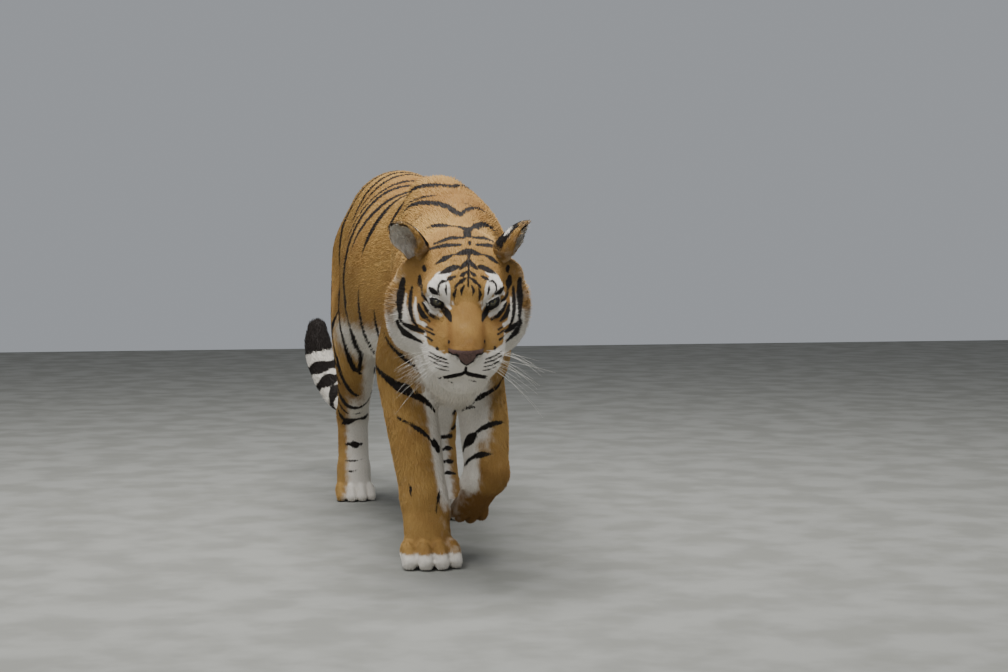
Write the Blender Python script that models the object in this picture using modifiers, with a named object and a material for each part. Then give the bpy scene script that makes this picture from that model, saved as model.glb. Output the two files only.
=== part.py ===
"""Amur tiger, life size, in mid walk with the left forefoot lifted: the solids of a still museum model.

The animal faces -Y, its left side is +X and the floor is z = 0. Its mass is described as forms: elliptical tubes that
run through a few stations, such as a trunk or a forearm, and ellipsoids, such as a cheek. One function, flesh(), blends
them into a single signed distance. A rough clay of spheres is fused by a voxel Remesh, settled onto that distance,
joined to the ears, thinned by Decimate, and then parted by flat cuts into the named parts of the body.
"""

import math

import bmesh
import bpy
import numpy as np
from mathutils import Matrix, Vector

# ---------------------------------------------------------------- driving dimensions, metres
WITHERS = 0.920  # height of the back over the forelegs
RUMP = 0.95  # height of the back over the hind legs
HIP_Y = 1.00  # the hips lie this far behind the shoulders
CHEST_BOTTOM = 0.405
TRUNK_HALF_WIDTH = 0.200  # at the middle of the ribs

FOREARM_HALF_WIDTH = 0.066
WRIST_HALF_WIDTH = 0.056
FOREPAW_HALF_WIDTH = 0.074
LIFTED_PAW_HALF_WIDTH = 0.052  # its toes are drawn together
HINDPAW_HALF_WIDTH = 0.060
HOCK_HALF_WIDTH = 0.046

HEAD_CENTRE = Vector((-0.052, -0.400, 0.638))
HEAD_PITCH = math.radians(36)  # nose down
HEAD_YAW = math.radians(-6.5)  # face turned to the animal's right
EYE_RADIUS = 0.0195
EYE_PLACE = Vector((0.0570, -0.0660, 0.0450))  # in the head's own axes, on the left side

TAIL_RADIUS = 0.036

CLAY_VOXEL = 0.010
EAR_WALL = 0.009
CUT = 0.0006  # width of the thin cuts between parts
EYE_GAP = 0.0004
TRIANGLES = 5000  # of the whole body before the cuts
CRUMB = 16  # a loose piece with this few corners is a sliver of a cut and is dropped

CLEAR = 0.08  # past this distance from its box, a form has no say
COLOURS = {
    "orange coat": (0.52, 0.25, 0.08),
    "pale coat": (0.72, 0.66, 0.55),
    "dark coat": (0.03, 0.025, 0.02),
    "nose leather": (0.28, 0.13, 0.11),
    "eye": (0.20, 0.17, 0.07),
}


# ---------------------------------------------------------------- forms and their blended distance
def smooth_min(a, b, blend):
    """The lower of two distances, rounded where they are within blend of each other."""
    near = np.maximum(blend - np.abs(a - b), 0.0)
    return np.minimum(a, b) - near * near / (4.0 * blend)


def through(stations, spacing):
    """Stations (x, y, z, half width, half height) filled in on a smooth curve, about spacing apart."""
    rows = np.array(stations, float)
    if len(rows) == 1:
        return rows
    padded = np.vstack([2 * rows[0] - rows[1], rows, 2 * rows[-1] - rows[-2]])
    filled = []
    for i in range(1, len(padded) - 2):
        before, start, end, after = padded[i - 1 : i + 3]
        count = max(1, round(np.linalg.norm(end[:3] - start[:3]) / spacing))
        for t in np.arange(count) / count:
            filled.append(
                0.5 * (2 * start + (end - before) * t + (2 * before - 5 * start + 4 * end - after) * t**2
                       + (3 * start - before - 3 * end + after) * t**3)
            )
    filled.append(rows[-1])
    filled = np.array(filled)
    filled[:, 3:] = np.maximum(filled[:, 3:], rows[:, 3:].min())
    return filled


class Form:
    """An elliptical tube through its stations, or an ellipsoid where there is one station."""

    def __init__(self, stations, blend, side=(1, 0, 0), along=(0, -1, 0), length=None, cap=1.0, hollow=False):
        rows = through(stations, spacing=max(0.010, 0.25 * min(s[4] for s in stations)))
        self.rows, self.blend, self.hollow = rows, blend, hollow
        self.segments = []
        for start, end in zip(rows[:-1], rows[1:]) if len(rows) > 1 else [(rows[0], rows[0])]:
            axis = end[:3] - start[:3] if len(rows) > 1 else np.array(along, float)
            axis = axis / np.linalg.norm(axis)
            across = np.array(side, float) - np.dot(side, axis) * axis
            across /= np.linalg.norm(across)
            up = np.cross(axis, across)
            reach = length or cap * min(start[3], start[4], end[3], end[4])
            self.segments.append((start, end, axis, across, up, reach))
        size = max(rows[:, 3:].max(), length or 0.0) + CLEAR
        self.low, self.high = rows[:, :3].min(0) - size, rows[:, :3].max(0) + size

    def distance(self, points):
        best = np.full(len(points), np.inf)
        for start, end, axis, across, up, reach in self.segments:
            run = end[:3] - start[:3]
            share = np.clip((points - start[:3]) @ run / max(run @ run, 1e-12), 0.0, 1.0)
            offset = points - start[:3] - share[:, None] * run
            half_width = start[3] + (end[3] - start[3]) * share
            half_height = start[4] + (end[4] - start[4]) * share
            w, h, n = offset @ across, offset @ up, offset @ axis / reach
            unit = np.sqrt((w / half_width) ** 2 + (h / half_height) ** 2 + n**2) + 1e-9
            slope = np.sqrt((w / half_width**2) ** 2 + (h / half_height**2) ** 2 + (n / reach) ** 2) + 1e-9
            best = np.minimum(best, unit * (unit - 1.0) / slope)
        return best


def flesh(points, forms):
    """Signed distance, in metres, from each point to the body that the forms make together."""
    field = np.full(len(points), 1.0)
    for form in forms:
        near = np.all((points > form.low) & (points < form.high), axis=1)
        distance = form.distance(points[near])
        if form.hollow:
            field[near] = -smooth_min(-field[near], distance, form.blend)
        else:
            field[near] = smooth_min(field[near], distance, form.blend)
    return field


def settle(points, forms, steps):
    """Moves points along the field's slope until they lie on the body's surface."""
    probe = 0.0015
    for _ in range(steps):
        field = flesh(points, forms)
        slope = np.stack([flesh(points + probe * axis, forms) - field for axis in np.eye(3)], axis=1) / probe
        move = slope * (field / np.maximum((slope**2).sum(1), 0.2))[:, None]
        points = points - np.clip(move, -0.012, 0.012)
    return points


# ---------------------------------------------------------------- the body's forms
def trunk_forms():
    """Ribs, loin and rump as one tube, with the shoulder blades, breast and haunches over it."""
    top_bottom = [  # y, top, bottom, half width
        (-0.10, WITHERS - 0.090, 0.500, 0.094),
        (0.02, WITHERS - 0.012, 0.440, 0.102),
        (0.16, WITHERS - 0.012, CHEST_BOTTOM + 0.008, 0.134),
        (0.34, WITHERS - 0.030, CHEST_BOTTOM, TRUNK_HALF_WIDTH - 0.020),
        (0.55, WITHERS - 0.008, CHEST_BOTTOM + 0.008, TRUNK_HALF_WIDTH),
        (0.74, WITHERS + 0.026, CHEST_BOTTOM + 0.040, TRUNK_HALF_WIDTH - 0.022),
        (HIP_Y - 0.08, RUMP + 0.016, 0.515, 0.163),
        (HIP_Y + 0.04, RUMP + 0.006, 0.580, 0.140),
        (HIP_Y + 0.13, RUMP - 0.050, 0.640, 0.104),
    ]
    stations = [(0.016 if y > 0.70 else 0.0, y, (top + low) / 2, wide, (top - low) / 2)
                for y, top, low, wide in top_bottom]  # the rump swings a little to the left
    forms = [Form(stations, blend=0.04, cap=0.5)]
    for side in (-1, 1):
        blade_top, spread = (WITHERS - 0.010, 0.022) if side < 0 else (WITHERS - 0.082, -0.008)
        forms.append(Form([(side * (0.026 + spread), 0.060, blade_top - 0.036, 0.042, 0.036),
                           (side * (0.056 + spread), -0.010, 0.735, 0.045, 0.085),
                           (side * (0.074 + spread), -0.085, 0.630, 0.048, 0.082)], blend=0.065))
        forms.append(Form([(side * 0.122, 0.730, 0.545, 0.050, 0.085)], blend=0.07, length=0.110))
    forms.append(Form([(-0.012, -0.150, 0.560, 0.088, 0.105)], blend=0.06, length=0.085))
    forms.append(Form([(-0.008, -0.060, 0.450, 0.066, 0.082)], blend=0.06, length=0.110))
    return forms


def neck_forms():
    """The neck sinks from the withers to the lowered head and bends to the animal's right."""
    head = HEAD_CENTRE
    return [
        Form([(0.000, 0.060, 0.720, 0.130, 0.165),
              (-0.010, -0.080, 0.700, 0.132, 0.165),
              (-0.030, -0.200, 0.672, 0.126, 0.152),
              (head.x + 0.012, head.y + 0.100, head.z + 0.018, 0.120, 0.132)], blend=0.05, cap=0.5),
        Form([(-0.045, -0.325, 0.540, 0.080, 0.064),
              (-0.022, -0.180, 0.485, 0.080, 0.085)], blend=0.07),
    ]


def head_axes():
    """Matrix from the head's own axes (nose along -Y, crown along +Z) to the body's."""
    return (Matrix.Translation(HEAD_CENTRE) @ Matrix.Rotation(HEAD_YAW, 4, "Z")
            @ Matrix.Rotation(HEAD_PITCH, 4, "X"))


def head_forms():
    """Skull, muzzle, jaw, cheeks and ruff, in the head's own axes and then turned into place."""
    axes = head_axes()
    turn = axes.to_3x3()
    side, nose_way = turn @ Vector((1, 0, 0)), turn @ Vector((0, -1, 0))

    def tube(stations, blend):
        placed = [(*(axes @ Vector(s[:3])), s[3], s[4]) for s in stations]
        return Form(placed, blend, side=tuple(side))

    def lump(x, y, z, wide, long, high, blend, hollow=False):
        place = axes @ Vector((x, y, z))
        return Form([(*place, wide, high)], blend, side=tuple(side), along=tuple(nose_way), length=long,
                    hollow=hollow)

    forms = [
        lump(0, 0.045, 0.040, 0.104, 0.112, 0.080, blend=0.05),  # braincase
        lump(0, -0.032, 0.048, 0.074, 0.058, 0.046, blend=0.04),  # forehead
        tube([(0, -0.050, 0.054, 0.042, 0.030), (0, -0.100, 0.034, 0.038, 0.028),
              (0, -0.150, 0.012, 0.038, 0.026), (0, -0.180, -0.002, 0.035, 0.023)], blend=0.014),  # bridge
        tube([(0, -0.060, -0.016, 0.072, 0.058), (0, -0.120, -0.030, 0.062, 0.050),
              (0, -0.150, -0.042, 0.054, 0.040)], blend=0.035),  # upper jaw
        lump(0, -0.134, -0.106, 0.052, 0.038, 0.036, blend=0.016),  # chin
        tube([(0, -0.130, -0.100, 0.050, 0.030), (0, -0.080, -0.104, 0.066, 0.036),
              (0, -0.010, -0.100, 0.088, 0.044), (0, 0.060, -0.075, 0.090, 0.060)], blend=0.03),  # lower jaw
    ]
    for s in (-1, 1):
        fuller = 0.008 if s < 0 else 0.0  # the ruff stands out more on the right
        forms += [
            lump(s * 0.036, -0.150, -0.052, 0.041, 0.044, 0.039, blend=0.014),  # whisker pad
            lump(s * 0.046, -0.052, 0.062, 0.034, 0.026, 0.019, blend=0.03),  # brow
            lump(s * 0.086, -0.036, 0.000, 0.034, 0.046, 0.034, blend=0.03),  # cheek bone
            lump(s * 0.106, 0.044, 0.030, 0.036, 0.042, 0.034, blend=0.03),  # root of the ear
            lump(s * 0.054, -0.100, -0.032, 0.038, 0.060, 0.046, blend=0.03),  # side of the upper jaw
            lump(s * 0.086, -0.012, -0.048, 0.053, 0.076, 0.066, blend=0.04),  # cheek
            lump(s * (0.104 + fuller), 0.030, -0.080, 0.052, 0.054, 0.092, blend=0.04),  # ruff
            lump(s * (0.106 + fuller), 0.032, -0.022, 0.045, 0.046, 0.052, blend=0.045),  # ruff under the ear
        ]
        eye = EYE_PLACE
        forms.append(lump(s * (eye.x + 0.002), eye.y - 0.016, eye.z, 0.018, 0.012, 0.012, blend=0.018,
                          hollow=True))  # hollow that the eye looks out of
    return forms


# Where the joints of each leg lie, as (x, y, z), from the top of the limb down.
FORELEG_RIGHT = dict(shoulder=(-0.110, -0.110, 0.620), elbow=(-0.112, 0.045, 0.455), forearm=(-0.094, 0.005, 0.330),
                     wrist=(-0.075, -0.048, 0.155), ball=(-0.073, -0.100, 0.036))
FORELEG_LEFT = dict(shoulder=(0.080, -0.115, 0.610), elbow=(0.076, 0.030, 0.440), forearm=(0.071, -0.045, 0.325),
                    wrist=(0.064, -0.112, 0.215), ball=(0.043, -0.012, 0.124))
HINDLEG_RIGHT = dict(hip=(-0.080, HIP_Y - 0.005, 0.710), thigh=(-0.102, 0.920, 0.580), knee=(-0.120, 0.845, 0.450),
                     calf=(-0.104, 0.960, 0.350), hock=(-0.090, 1.115, 0.250), ball=(-0.092, 1.075, 0.029))
HINDLEG_LEFT = dict(hip=(0.080, HIP_Y - 0.005, 0.710), thigh=(0.108, 0.870, 0.610), knee=(0.126, 0.745, 0.500),
                    calf=(0.122, 0.775, 0.370), hock=(0.122, 0.860, 0.215), ball=(0.110, 0.665, 0.029))


# Thin cuts across each leg: between which two joints, how far along, and the radius of the cutting disc.
FORELEG_CUTS = (("forearm", "wrist", 0.10, 0.082), ("wrist", "ball", 0.30, 0.067))
LIFTED_CUTS = (("forearm", "wrist", 0.06, 0.078), ("wrist", "ball", 0.40, 0.066))
HINDLEG_CUTS = (("knee", "calf", 0.62, 0.096), ("hock", "ball", 0.62, 0.064))
LEG_CUTS = ((FORELEG_RIGHT, FORELEG_CUTS), (FORELEG_LEFT, LIFTED_CUTS), (HINDLEG_RIGHT, HINDLEG_CUTS),
            (HINDLEG_LEFT, HINDLEG_CUTS))
TAIL_CUTS = (((0, 1.235, 0.735), (0, 1, -0.95), 0.076), ((-0.005, 1.405, 0.465), (0, 0.42, -1), 0.060),
             ((-0.100, 1.655, 0.315), (-0.36, 0.35, 1), 0.068))


def paw_forms(ball, heel, toe_way, half_width, limb):
    """A pad, the instep and four toes. ball is the middle of the paw and toe_way points from it to the toes."""
    ball, toe_way = Vector(ball), Vector(toe_way).normalized()
    size = half_width / 0.072
    across = (Vector((1, 0, 0)) - toe_way.x * toe_way).normalized()
    up = toe_way.cross(across)

    def place(x, ahead, high):
        return ball + (across * x + toe_way * ahead + up * high) * size

    forms = [
        Form([(*heel, *limb), (*place(0, 0.004, 0.004), 0.056 * size, 0.032 * size)], blend=0.02,
             side=tuple(across)),
        Form([(*place(0, -0.006, -0.020), 0.050 * size, 0.022 * size)], blend=0.012, side=tuple(across),
             along=tuple(toe_way), length=0.036 * size),
    ]
    for x, set_back in ((-0.050, 0.016), (-0.0175, 0), (0.0175, 0), (0.050, 0.016)):
        forms.append(Form([
            (*place(x * 0.86, -set_back, 0.004), 0.019 * size, 0.025 * size),
            (*place(x * 1.02, 0.034 - set_back, 0.003), 0.0195 * size, 0.025 * size),
            (*place(x * 1.04, 0.064 - set_back, -0.020), 0.018 * size, 0.020 * size),
        ], blend=0.008, side=tuple(across)))
    return forms


def foreleg_forms(joint, toe_way, side, girth, paw_width):
    """Upper arm, elbow, forearm and wrist as one tube that hardly narrows, ending in the forepaw."""
    dewclaw = Vector(joint["wrist"]).lerp(Vector(joint["ball"]), 0.25) + Vector((-side * 0.045, -0.010, 0))
    limb = [
        (*joint["shoulder"], 0.055 * girth, 0.090),
        (*Vector(joint["shoulder"]).lerp(Vector(joint["elbow"]), 0.6), 0.067 * girth, 0.098),
        (*joint["elbow"], 0.066 * girth, 0.078),
        (*joint["forearm"], FOREARM_HALF_WIDTH * girth, 0.066),
        (*joint["wrist"], WRIST_HALF_WIDTH * girth, 0.054),
    ]
    return [
        Form(limb, blend=0.045),
        Form([(*dewclaw, 0.014, 0.020)], blend=0.015, length=0.016),
        *paw_forms(joint["ball"], joint["wrist"], toe_way, paw_width, limb=(WRIST_HALF_WIDTH * girth, 0.050)),
    ]


def hindleg_forms(joint, toe_way):
    """Broad thigh, knee, calf and the long foot that stands on its toes."""
    limb = [
        (*joint["hip"], 0.076, 0.135),
        (*joint["thigh"], 0.076, 0.130),
        (*joint["knee"], 0.062, 0.088),
        (*joint["calf"], 0.052, 0.072),
        (*joint["hock"], HOCK_HALF_WIDTH, 0.046),
    ]
    foot = [
        (*joint["hock"], HOCK_HALF_WIDTH, 0.044),
        (*Vector(joint["hock"]).lerp(Vector(joint["ball"]), 0.5), HOCK_HALF_WIDTH + 0.001, 0.040),
        (*joint["ball"], HINDPAW_HALF_WIDTH * 0.75, 0.036),
    ]
    heel = Vector(joint["hock"]).lerp(Vector(joint["ball"]), 0.72)
    return [
        Form(limb, blend=0.075),
        Form(foot, blend=0.02),
        *paw_forms(joint["ball"], heel, toe_way, HINDPAW_HALF_WIDTH, limb=(HOCK_HALF_WIDTH, 0.036)),
    ]


def tail_forms():
    """The tail hangs behind the hocks and its end curls up on the animal's right."""
    r = TAIL_RADIUS
    stations = [
        (0.000, 1.080, 0.840, r * 1.70, r * 1.70),
        (0.000, 1.210, 0.760, r * 1.25, r * 1.20),
        (0.000, 1.325, 0.625, r, r),
        (-0.005, 1.405, 0.465, r, r),
        (-0.010, 1.475, 0.315, r, r),
        (-0.028, 1.560, 0.240, r * 1.05, r * 1.05),
        (-0.074, 1.630, 0.262, r * 1.15, r * 1.15),
        (-0.110, 1.665, 0.338, r * 1.25, r * 1.25),
        (-0.126, 1.680, 0.415, r * 1.28, r * 1.28),
        (-0.129, 1.685, 0.472, r * 0.95, r * 0.95),
    ]
    return [Form(stations, blend=0.08)]


def body_forms():
    forms = trunk_forms() + neck_forms() + head_forms() + tail_forms()
    forms += foreleg_forms(FORELEG_RIGHT, (0.02, -1, 0), -1, 1.0, FOREPAW_HALF_WIDTH)
    forms += foreleg_forms(FORELEG_LEFT, (-0.16, 0.50, -0.80), 1, 0.93, LIFTED_PAW_HALF_WIDTH)
    forms += hindleg_forms(HINDLEG_RIGHT, (0.02, -1, 0))
    forms += hindleg_forms(HINDLEG_LEFT, (-0.02, -1, 0))
    # Hollows come last, so that no solid form fills them again.
    return [f for f in forms if not f.hollow] + [f for f in forms if f.hollow]


# ---------------------------------------------------------------- meshes
def mesh_object(name, mesh, collection):
    obj = bpy.data.objects.new(name, mesh)
    collection.objects.link(obj)
    return obj


def apply_modifiers(obj):
    """Replaces an object's mesh by what its modifiers make of it."""
    graph = bpy.context.evaluated_depsgraph_get()
    graph.update()
    made = bpy.data.meshes.new_from_object(obj.evaluated_get(graph), depsgraph=graph)
    obj.modifiers.clear()
    obj.data = made


def clay(forms, collection):
    """Spheres squashed to each station's ellipse, fused into one rough body by a voxel Remesh."""
    bm = bmesh.new()
    for form in forms:
        if form.hollow:
            continue
        for start, end, axis, across, up, reach in form.segments:
            long = max(reach, np.linalg.norm(end[:3] - start[:3]))
            frame = Matrix((across * start[3], axis * long, up * start[4])).transposed().to_4x4()
            frame.translation = Vector((start[:3] + end[:3]) / 2)
            bmesh.ops.create_icosphere(bm, subdivisions=2, radius=1.0, matrix=frame)
    mesh = bpy.data.meshes.new("clay")
    bm.to_mesh(mesh)
    bm.free()
    body = mesh_object("clay", mesh, collection)
    remesh = body.modifiers.new("fuse", "REMESH")
    remesh.mode = "VOXEL"
    remesh.voxel_size = CLAY_VOXEL
    apply_modifiers(body)
    return body


def relax(mesh, rounds):
    """Evens out the vertex spacing."""
    bm = bmesh.new()
    bm.from_mesh(mesh)
    for _ in range(rounds):
        bmesh.ops.smooth_vert(bm, verts=bm.verts, factor=0.5, use_axis_x=True, use_axis_y=True, use_axis_z=True)
    bm.to_mesh(mesh)
    bm.free()


def settled_body(forms, collection):
    body = clay(forms, collection)
    for rounds in (2, 1):
        relax(body.data, rounds)
        points = np.array([v.co for v in body.data.vertices])
        points = settle(points, forms, steps=4)
        points[:, 2] = np.maximum(points[:, 2], 0.0)
        body.data.vertices.foreach_set("co", points.astype(np.float32).ravel())
    body.data.update()
    return body


def ear(side, collection):
    """A cupped leaf whose opening is turned outwards. Its foot is sunk in the head."""
    height, across_count, up_count = 0.098, 10, 10
    outward = math.radians(40 if side < 0 else 64) * side
    axes = (head_axes() @ Matrix.Translation((side * 0.104, 0.046, 0.070))
            @ Matrix.Rotation(math.radians(20) * side, 4, "Y") @ Matrix.Rotation(math.radians(-8), 4, "X")
            @ Matrix.Rotation(outward, 4, "Z"))
    bm = bmesh.new()
    grid = []
    for j in range(up_count + 1):
        v = 1.3 * j / up_count - 0.3
        half_width = 0.005 + 0.042 * max(1.0 - max(v, 0.0) ** 2.4, 0.0) ** 0.55 * (0.76 + 0.34 * v)
        arc = math.radians(112 - 60 * v)
        radius = half_width / math.sin(min(arc, math.pi / 2))
        row = []
        for i in range(across_count + 1):
            turn = arc * (2.0 * i / across_count - 1.0)
            back = radius * (math.cos(turn) - math.cos(arc) * 0.5) - 0.010 * v
            high = height * v + 0.030 * (turn / arc) ** 2 * (1.0 - v)
            row.append(bm.verts.new(axes @ Vector((radius * math.sin(turn), back, high))))
        grid.append(row)
    for low, high in zip(grid[:-1], grid[1:]):
        for i in range(across_count):
            bm.faces.new((low[i], low[i + 1], high[i + 1], high[i]))
    bmesh.ops.recalc_face_normals(bm, faces=bm.faces)
    mesh = bpy.data.meshes.new("ear")
    bm.to_mesh(mesh)
    bm.free()
    leaf = mesh_object("ear", mesh, collection)
    wall = leaf.modifiers.new("wall", "SOLIDIFY")
    wall.thickness = EAR_WALL
    wall.offset = 0.0
    wall.use_even_offset = True
    round_off = leaf.modifiers.new("round", "SUBSURF")
    round_off.levels = round_off.render_levels = 1
    apply_modifiers(leaf)
    return leaf


def boolean(obj, cutter, operation):
    step = obj.modifiers.new(operation.lower(), "BOOLEAN")
    step.operation = operation
    step.solver = "EXACT"
    step.object = cutter
    apply_modifiers(obj)


def thinned(body):
    """Collapses the fine mesh to the triangle budget, then presses the soles flat at one level."""
    body.data.calc_loop_triangles()
    step = body.modifiers.new("thin", "DECIMATE")
    step.ratio = TRIANGLES / len(body.data.loop_triangles)
    step.use_collapse_triangulate = True
    apply_modifiers(body)
    for vertex in body.data.vertices:
        if vertex.co.z < 0.004:
            vertex.co.z = 0.0


def as_cutter(mesh, frame, collection):
    mesh.transform(frame)
    if frame.determinant() < 0:
        mesh.flip_normals()
    cutter = mesh_object("cutter", mesh, collection)
    cutter.hide_render = True
    cutter.display_type = "WIRE"
    return cutter


def lined_up(place, away, side, sizes):
    """Frame on place with X along side, Y along away and Z across both, scaled by sizes."""
    away = Vector(away).normalized()
    across = (Vector(side) - Vector(side).dot(away) * away).normalized()
    up = across.cross(away)
    frame = Matrix((across * sizes[0], away * sizes[1], up * sizes[2])).transposed().to_4x4()
    frame.translation = Vector(place)
    return frame


def block(place, away, wide, high, long, grow, collection, side=(1, 0, 0)):
    """A box whose near face is centred on place and which runs along away. grow widens it on every side."""
    bm = bmesh.new()
    bmesh.ops.create_cube(bm, size=1.0)
    mesh = bpy.data.meshes.new("block")
    bm.to_mesh(mesh)
    bm.free()
    centre = Vector(place) + Vector(away).normalized() * long / 2
    return as_cutter(mesh, lined_up(centre, away, side, (wide + 2 * grow, long + 2 * grow, high + 2 * grow)),
                     collection)


def slit(body, place, along, radius, cutters):
    """Cuts a limb through with a thin disc across its run."""
    bm = bmesh.new()
    bmesh.ops.create_cone(bm, cap_ends=True, segments=12, radius1=radius, radius2=radius, depth=CUT)
    mesh = bpy.data.meshes.new("slit")
    bm.to_mesh(mesh)
    bm.free()
    turn = Vector(along).to_track_quat("Z", "Y").to_matrix().to_4x4()
    boolean(body, as_cutter(mesh, Matrix.Translation(Vector(place)) @ turn, cutters), "DIFFERENCE")


def material(name, roughness=0.75):
    found = bpy.data.materials.get(name)
    if found:
        return found
    made = bpy.data.materials.new(name)
    made.use_nodes = True
    shader = made.node_tree.nodes["Principled BSDF"]
    shader.inputs["Base Color"].default_value = (*COLOURS[name], 1.0)
    shader.inputs["Roughness"].default_value = roughness
    shader.inputs["Metallic"].default_value = 0.0
    return made


def paint(obj, name, roughness=0.75):
    obj.data.materials.clear()
    obj.data.materials.append(material(name, roughness))
    for face in obj.data.polygons:
        face.material_index = 0


def part_off(body, name, colour, place, away, wide, high, long, parts, cutters, side=(1, 0, 0)):
    """Takes what lies in a block from the body as a named part, and leaves a thin gap."""
    piece = mesh_object(name, body.data.copy(), parts)
    boolean(piece, block(place, away, wide, high, long, 0.0, cutters, side), "INTERSECT")
    boolean(body, block(place, away, wide, high, long, CUT, cutters, side), "DIFFERENCE")
    paint(piece, colour)
    return piece


def slit_the_body(body, cutters):
    """Thin cuts through the ears, the neck, the tail and the joints of the legs."""
    axes = head_axes()
    turn = axes.to_3x3()
    for s in (-1, 1):
        slit(body, axes @ Vector((s * 0.117, 0.046, 0.106)), turn @ Vector((s * 0.34, 0.13, 0.93)), 0.060, cutters)
    slit(body, (-0.045, -0.305, 0.635), (-0.11, -1, 0.06), 0.205, cutters)
    slit(body, (-0.010, -0.125, 0.690), (-0.05, -0.87, 0.49), 0.305, cutters)
    for place, along, radius in TAIL_CUTS:
        slit(body, place, along, radius, cutters)
    for joint, cuts in LEG_CUTS:
        for start, end, share, radius in cuts:
            above, below = Vector(joint[start]), Vector(joint[end])
            slit(body, above.lerp(below, share), below - above, radius, cutters)


# The name of each loose piece that the thin cuts make, its colour and a point near its middle.
PIECES = {
    "ear_right": ("dark coat", head_axes() @ Vector((-0.128, 0.046, 0.145))),
    "ear_left": ("dark coat", head_axes() @ Vector((0.128, 0.046, 0.145))),
    "head": ("orange coat", head_axes() @ Vector((0, -0.040, -0.010))),
    "neck": ("orange coat", Vector((-0.040, -0.230, 0.620))),
    "trunk": ("orange coat", Vector((0.000, 0.520, 0.670))),
    "tail_base": ("orange coat", Vector((0.000, 1.250, 0.710))),
    "tail_middle": ("pale coat", Vector((-0.010, 1.480, 0.330))),
    "tail_tip": ("dark coat", Vector((-0.124, 1.680, 0.420))),
    "foreleg_right_lower": ("orange coat", Vector(FORELEG_RIGHT["forearm"]).lerp(Vector(FORELEG_RIGHT["wrist"]), 0.4)),
    "foreleg_left_lower": ("orange coat", Vector(FORELEG_LEFT["forearm"]).lerp(Vector(FORELEG_LEFT["wrist"]), 0.4)),
    "hindleg_right_lower": ("pale coat", Vector(HINDLEG_RIGHT["calf"]).lerp(Vector(HINDLEG_RIGHT["hock"]), 0.7)),
    "hindleg_left_lower": ("pale coat", Vector(HINDLEG_LEFT["calf"]).lerp(Vector(HINDLEG_LEFT["hock"]), 0.7)),
    "forepaw_right": ("pale coat", Vector(FORELEG_RIGHT["ball"])),
    "forepaw_left": ("pale coat", Vector(FORELEG_LEFT["ball"])),
    "hindpaw_right": ("pale coat", Vector(HINDLEG_RIGHT["ball"])),
    "hindpaw_left": ("pale coat", Vector(HINDLEG_LEFT["ball"])),
}


def loose_pieces(body, parts):
    """Splits the slit body into its closed pieces and names each by the nearest point in PIECES."""
    bm = bmesh.new()
    bm.from_mesh(body.data)
    bm.verts.ensure_lookup_table()
    unseen = set(range(len(bm.verts)))
    found = {}
    while unseen:
        stack, piece = [unseen.pop()], []
        while stack:
            index = stack.pop()
            piece.append(index)
            for edge in bm.verts[index].link_edges:
                other = edge.other_vert(bm.verts[index]).index
                if other in unseen:
                    unseen.remove(other)
                    stack.append(other)
        corners = np.array([bm.verts[i].co for i in piece])
        middle = Vector((corners.min(0) + corners.max(0)) / 2)
        name = min(PIECES, key=lambda n: (PIECES[n][1] - middle).length)
        if len(piece) > CRUMB:
            found.setdefault(name, []).extend(piece)
    for name, indices in found.items():
        keep = set(indices)
        copy = bm.copy()
        copy.verts.ensure_lookup_table()
        bmesh.ops.delete(copy, geom=[v for v in copy.verts if v.index not in keep], context="VERTS")
        mesh = bpy.data.meshes.new(name)
        copy.to_mesh(mesh)
        copy.free()
        paint(mesh_object(name, mesh, parts), PIECES[name][0])
    bm.free()
    bpy.data.objects.remove(body)


def part_the_face(head, parts, cutters):
    """The nose leather and the lower jaw come off the head."""
    axes = head_axes()
    turn = axes.to_3x3()
    side = turn @ Vector((1, 0, 0))
    part_off(head, "nose", "nose leather", axes @ Vector((0, -0.184, 0.004)), turn @ Vector((0, -1.0, 0.14)), 0.070,
             0.040, 0.05, parts, cutters, side)
    part_off(head, "jaw", "pale coat", axes @ Vector((0, -0.125, -0.082)), turn @ Vector((0, 0.04, -1)), 0.15, 0.15,
             0.12, parts, cutters, side)


def part_the_upper_legs(trunk, parts, cutters):
    """The upper arms and thighs come off the trunk as slabs that lean outwards."""
    for s, side_name in ((-1, "right"), (1, "left")):
        lean = Vector((s * 0.95, 0.0, -0.30))
        part_off(trunk, "foreleg_" + side_name + "_upper", "orange coat", (s * 0.088, -0.045, 0.540), lean, 0.64,
                 0.34, 0.30, parts, cutters, side=(0, 0, 1))
        part_off(trunk, "hindleg_" + side_name + "_upper", "orange coat", (s * 0.080, 0.930, 0.580), lean, 0.66,
                 0.44, 0.30, parts, cutters, side=(0, 0, 1))


def eyes(body_head, parts, cutters):
    """Balls set in round sockets of the head, with a hair's gap."""
    axes = head_axes()
    for name, s in (("eye_right", -1), ("eye_left", 1)):
        place = axes @ Vector((s * EYE_PLACE.x, EYE_PLACE.y, EYE_PLACE.z))
        for radius, target in ((EYE_RADIUS + EYE_GAP, None), (EYE_RADIUS, name)):
            bpy.ops.mesh.primitive_uv_sphere_add(segments=16, ring_count=10, radius=radius, location=place)
            ball = bpy.context.object
            ball.data.shade_smooth()
            for other in list(ball.users_collection):
                other.objects.unlink(ball)
            if target:
                ball.name = name
                parts.objects.link(ball)
                paint(ball, "eye", 0.1)
            else:
                ball.name = "cutter"
                ball.hide_render = True
                ball.display_type = "WIRE"
                cutters.objects.link(ball)
                boolean(body_head, ball, "DIFFERENCE")


def stand_on_origin(parts):
    """Moves every part so that the origin is under the middle of the model's box."""
    corners = [obj.matrix_world @ v.co for obj in parts.objects for v in obj.data.vertices]
    low = Vector([min(c[i] for c in corners) for i in range(3)])
    high = Vector([max(c[i] for c in corners) for i in range(3)])
    shift = Matrix.Translation((-(low.x + high.x) / 2, -(low.y + high.y) / 2, -low.z))
    for obj in parts.objects:
        obj.matrix_world = shift @ obj.matrix_world
    return shift.translation


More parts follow.
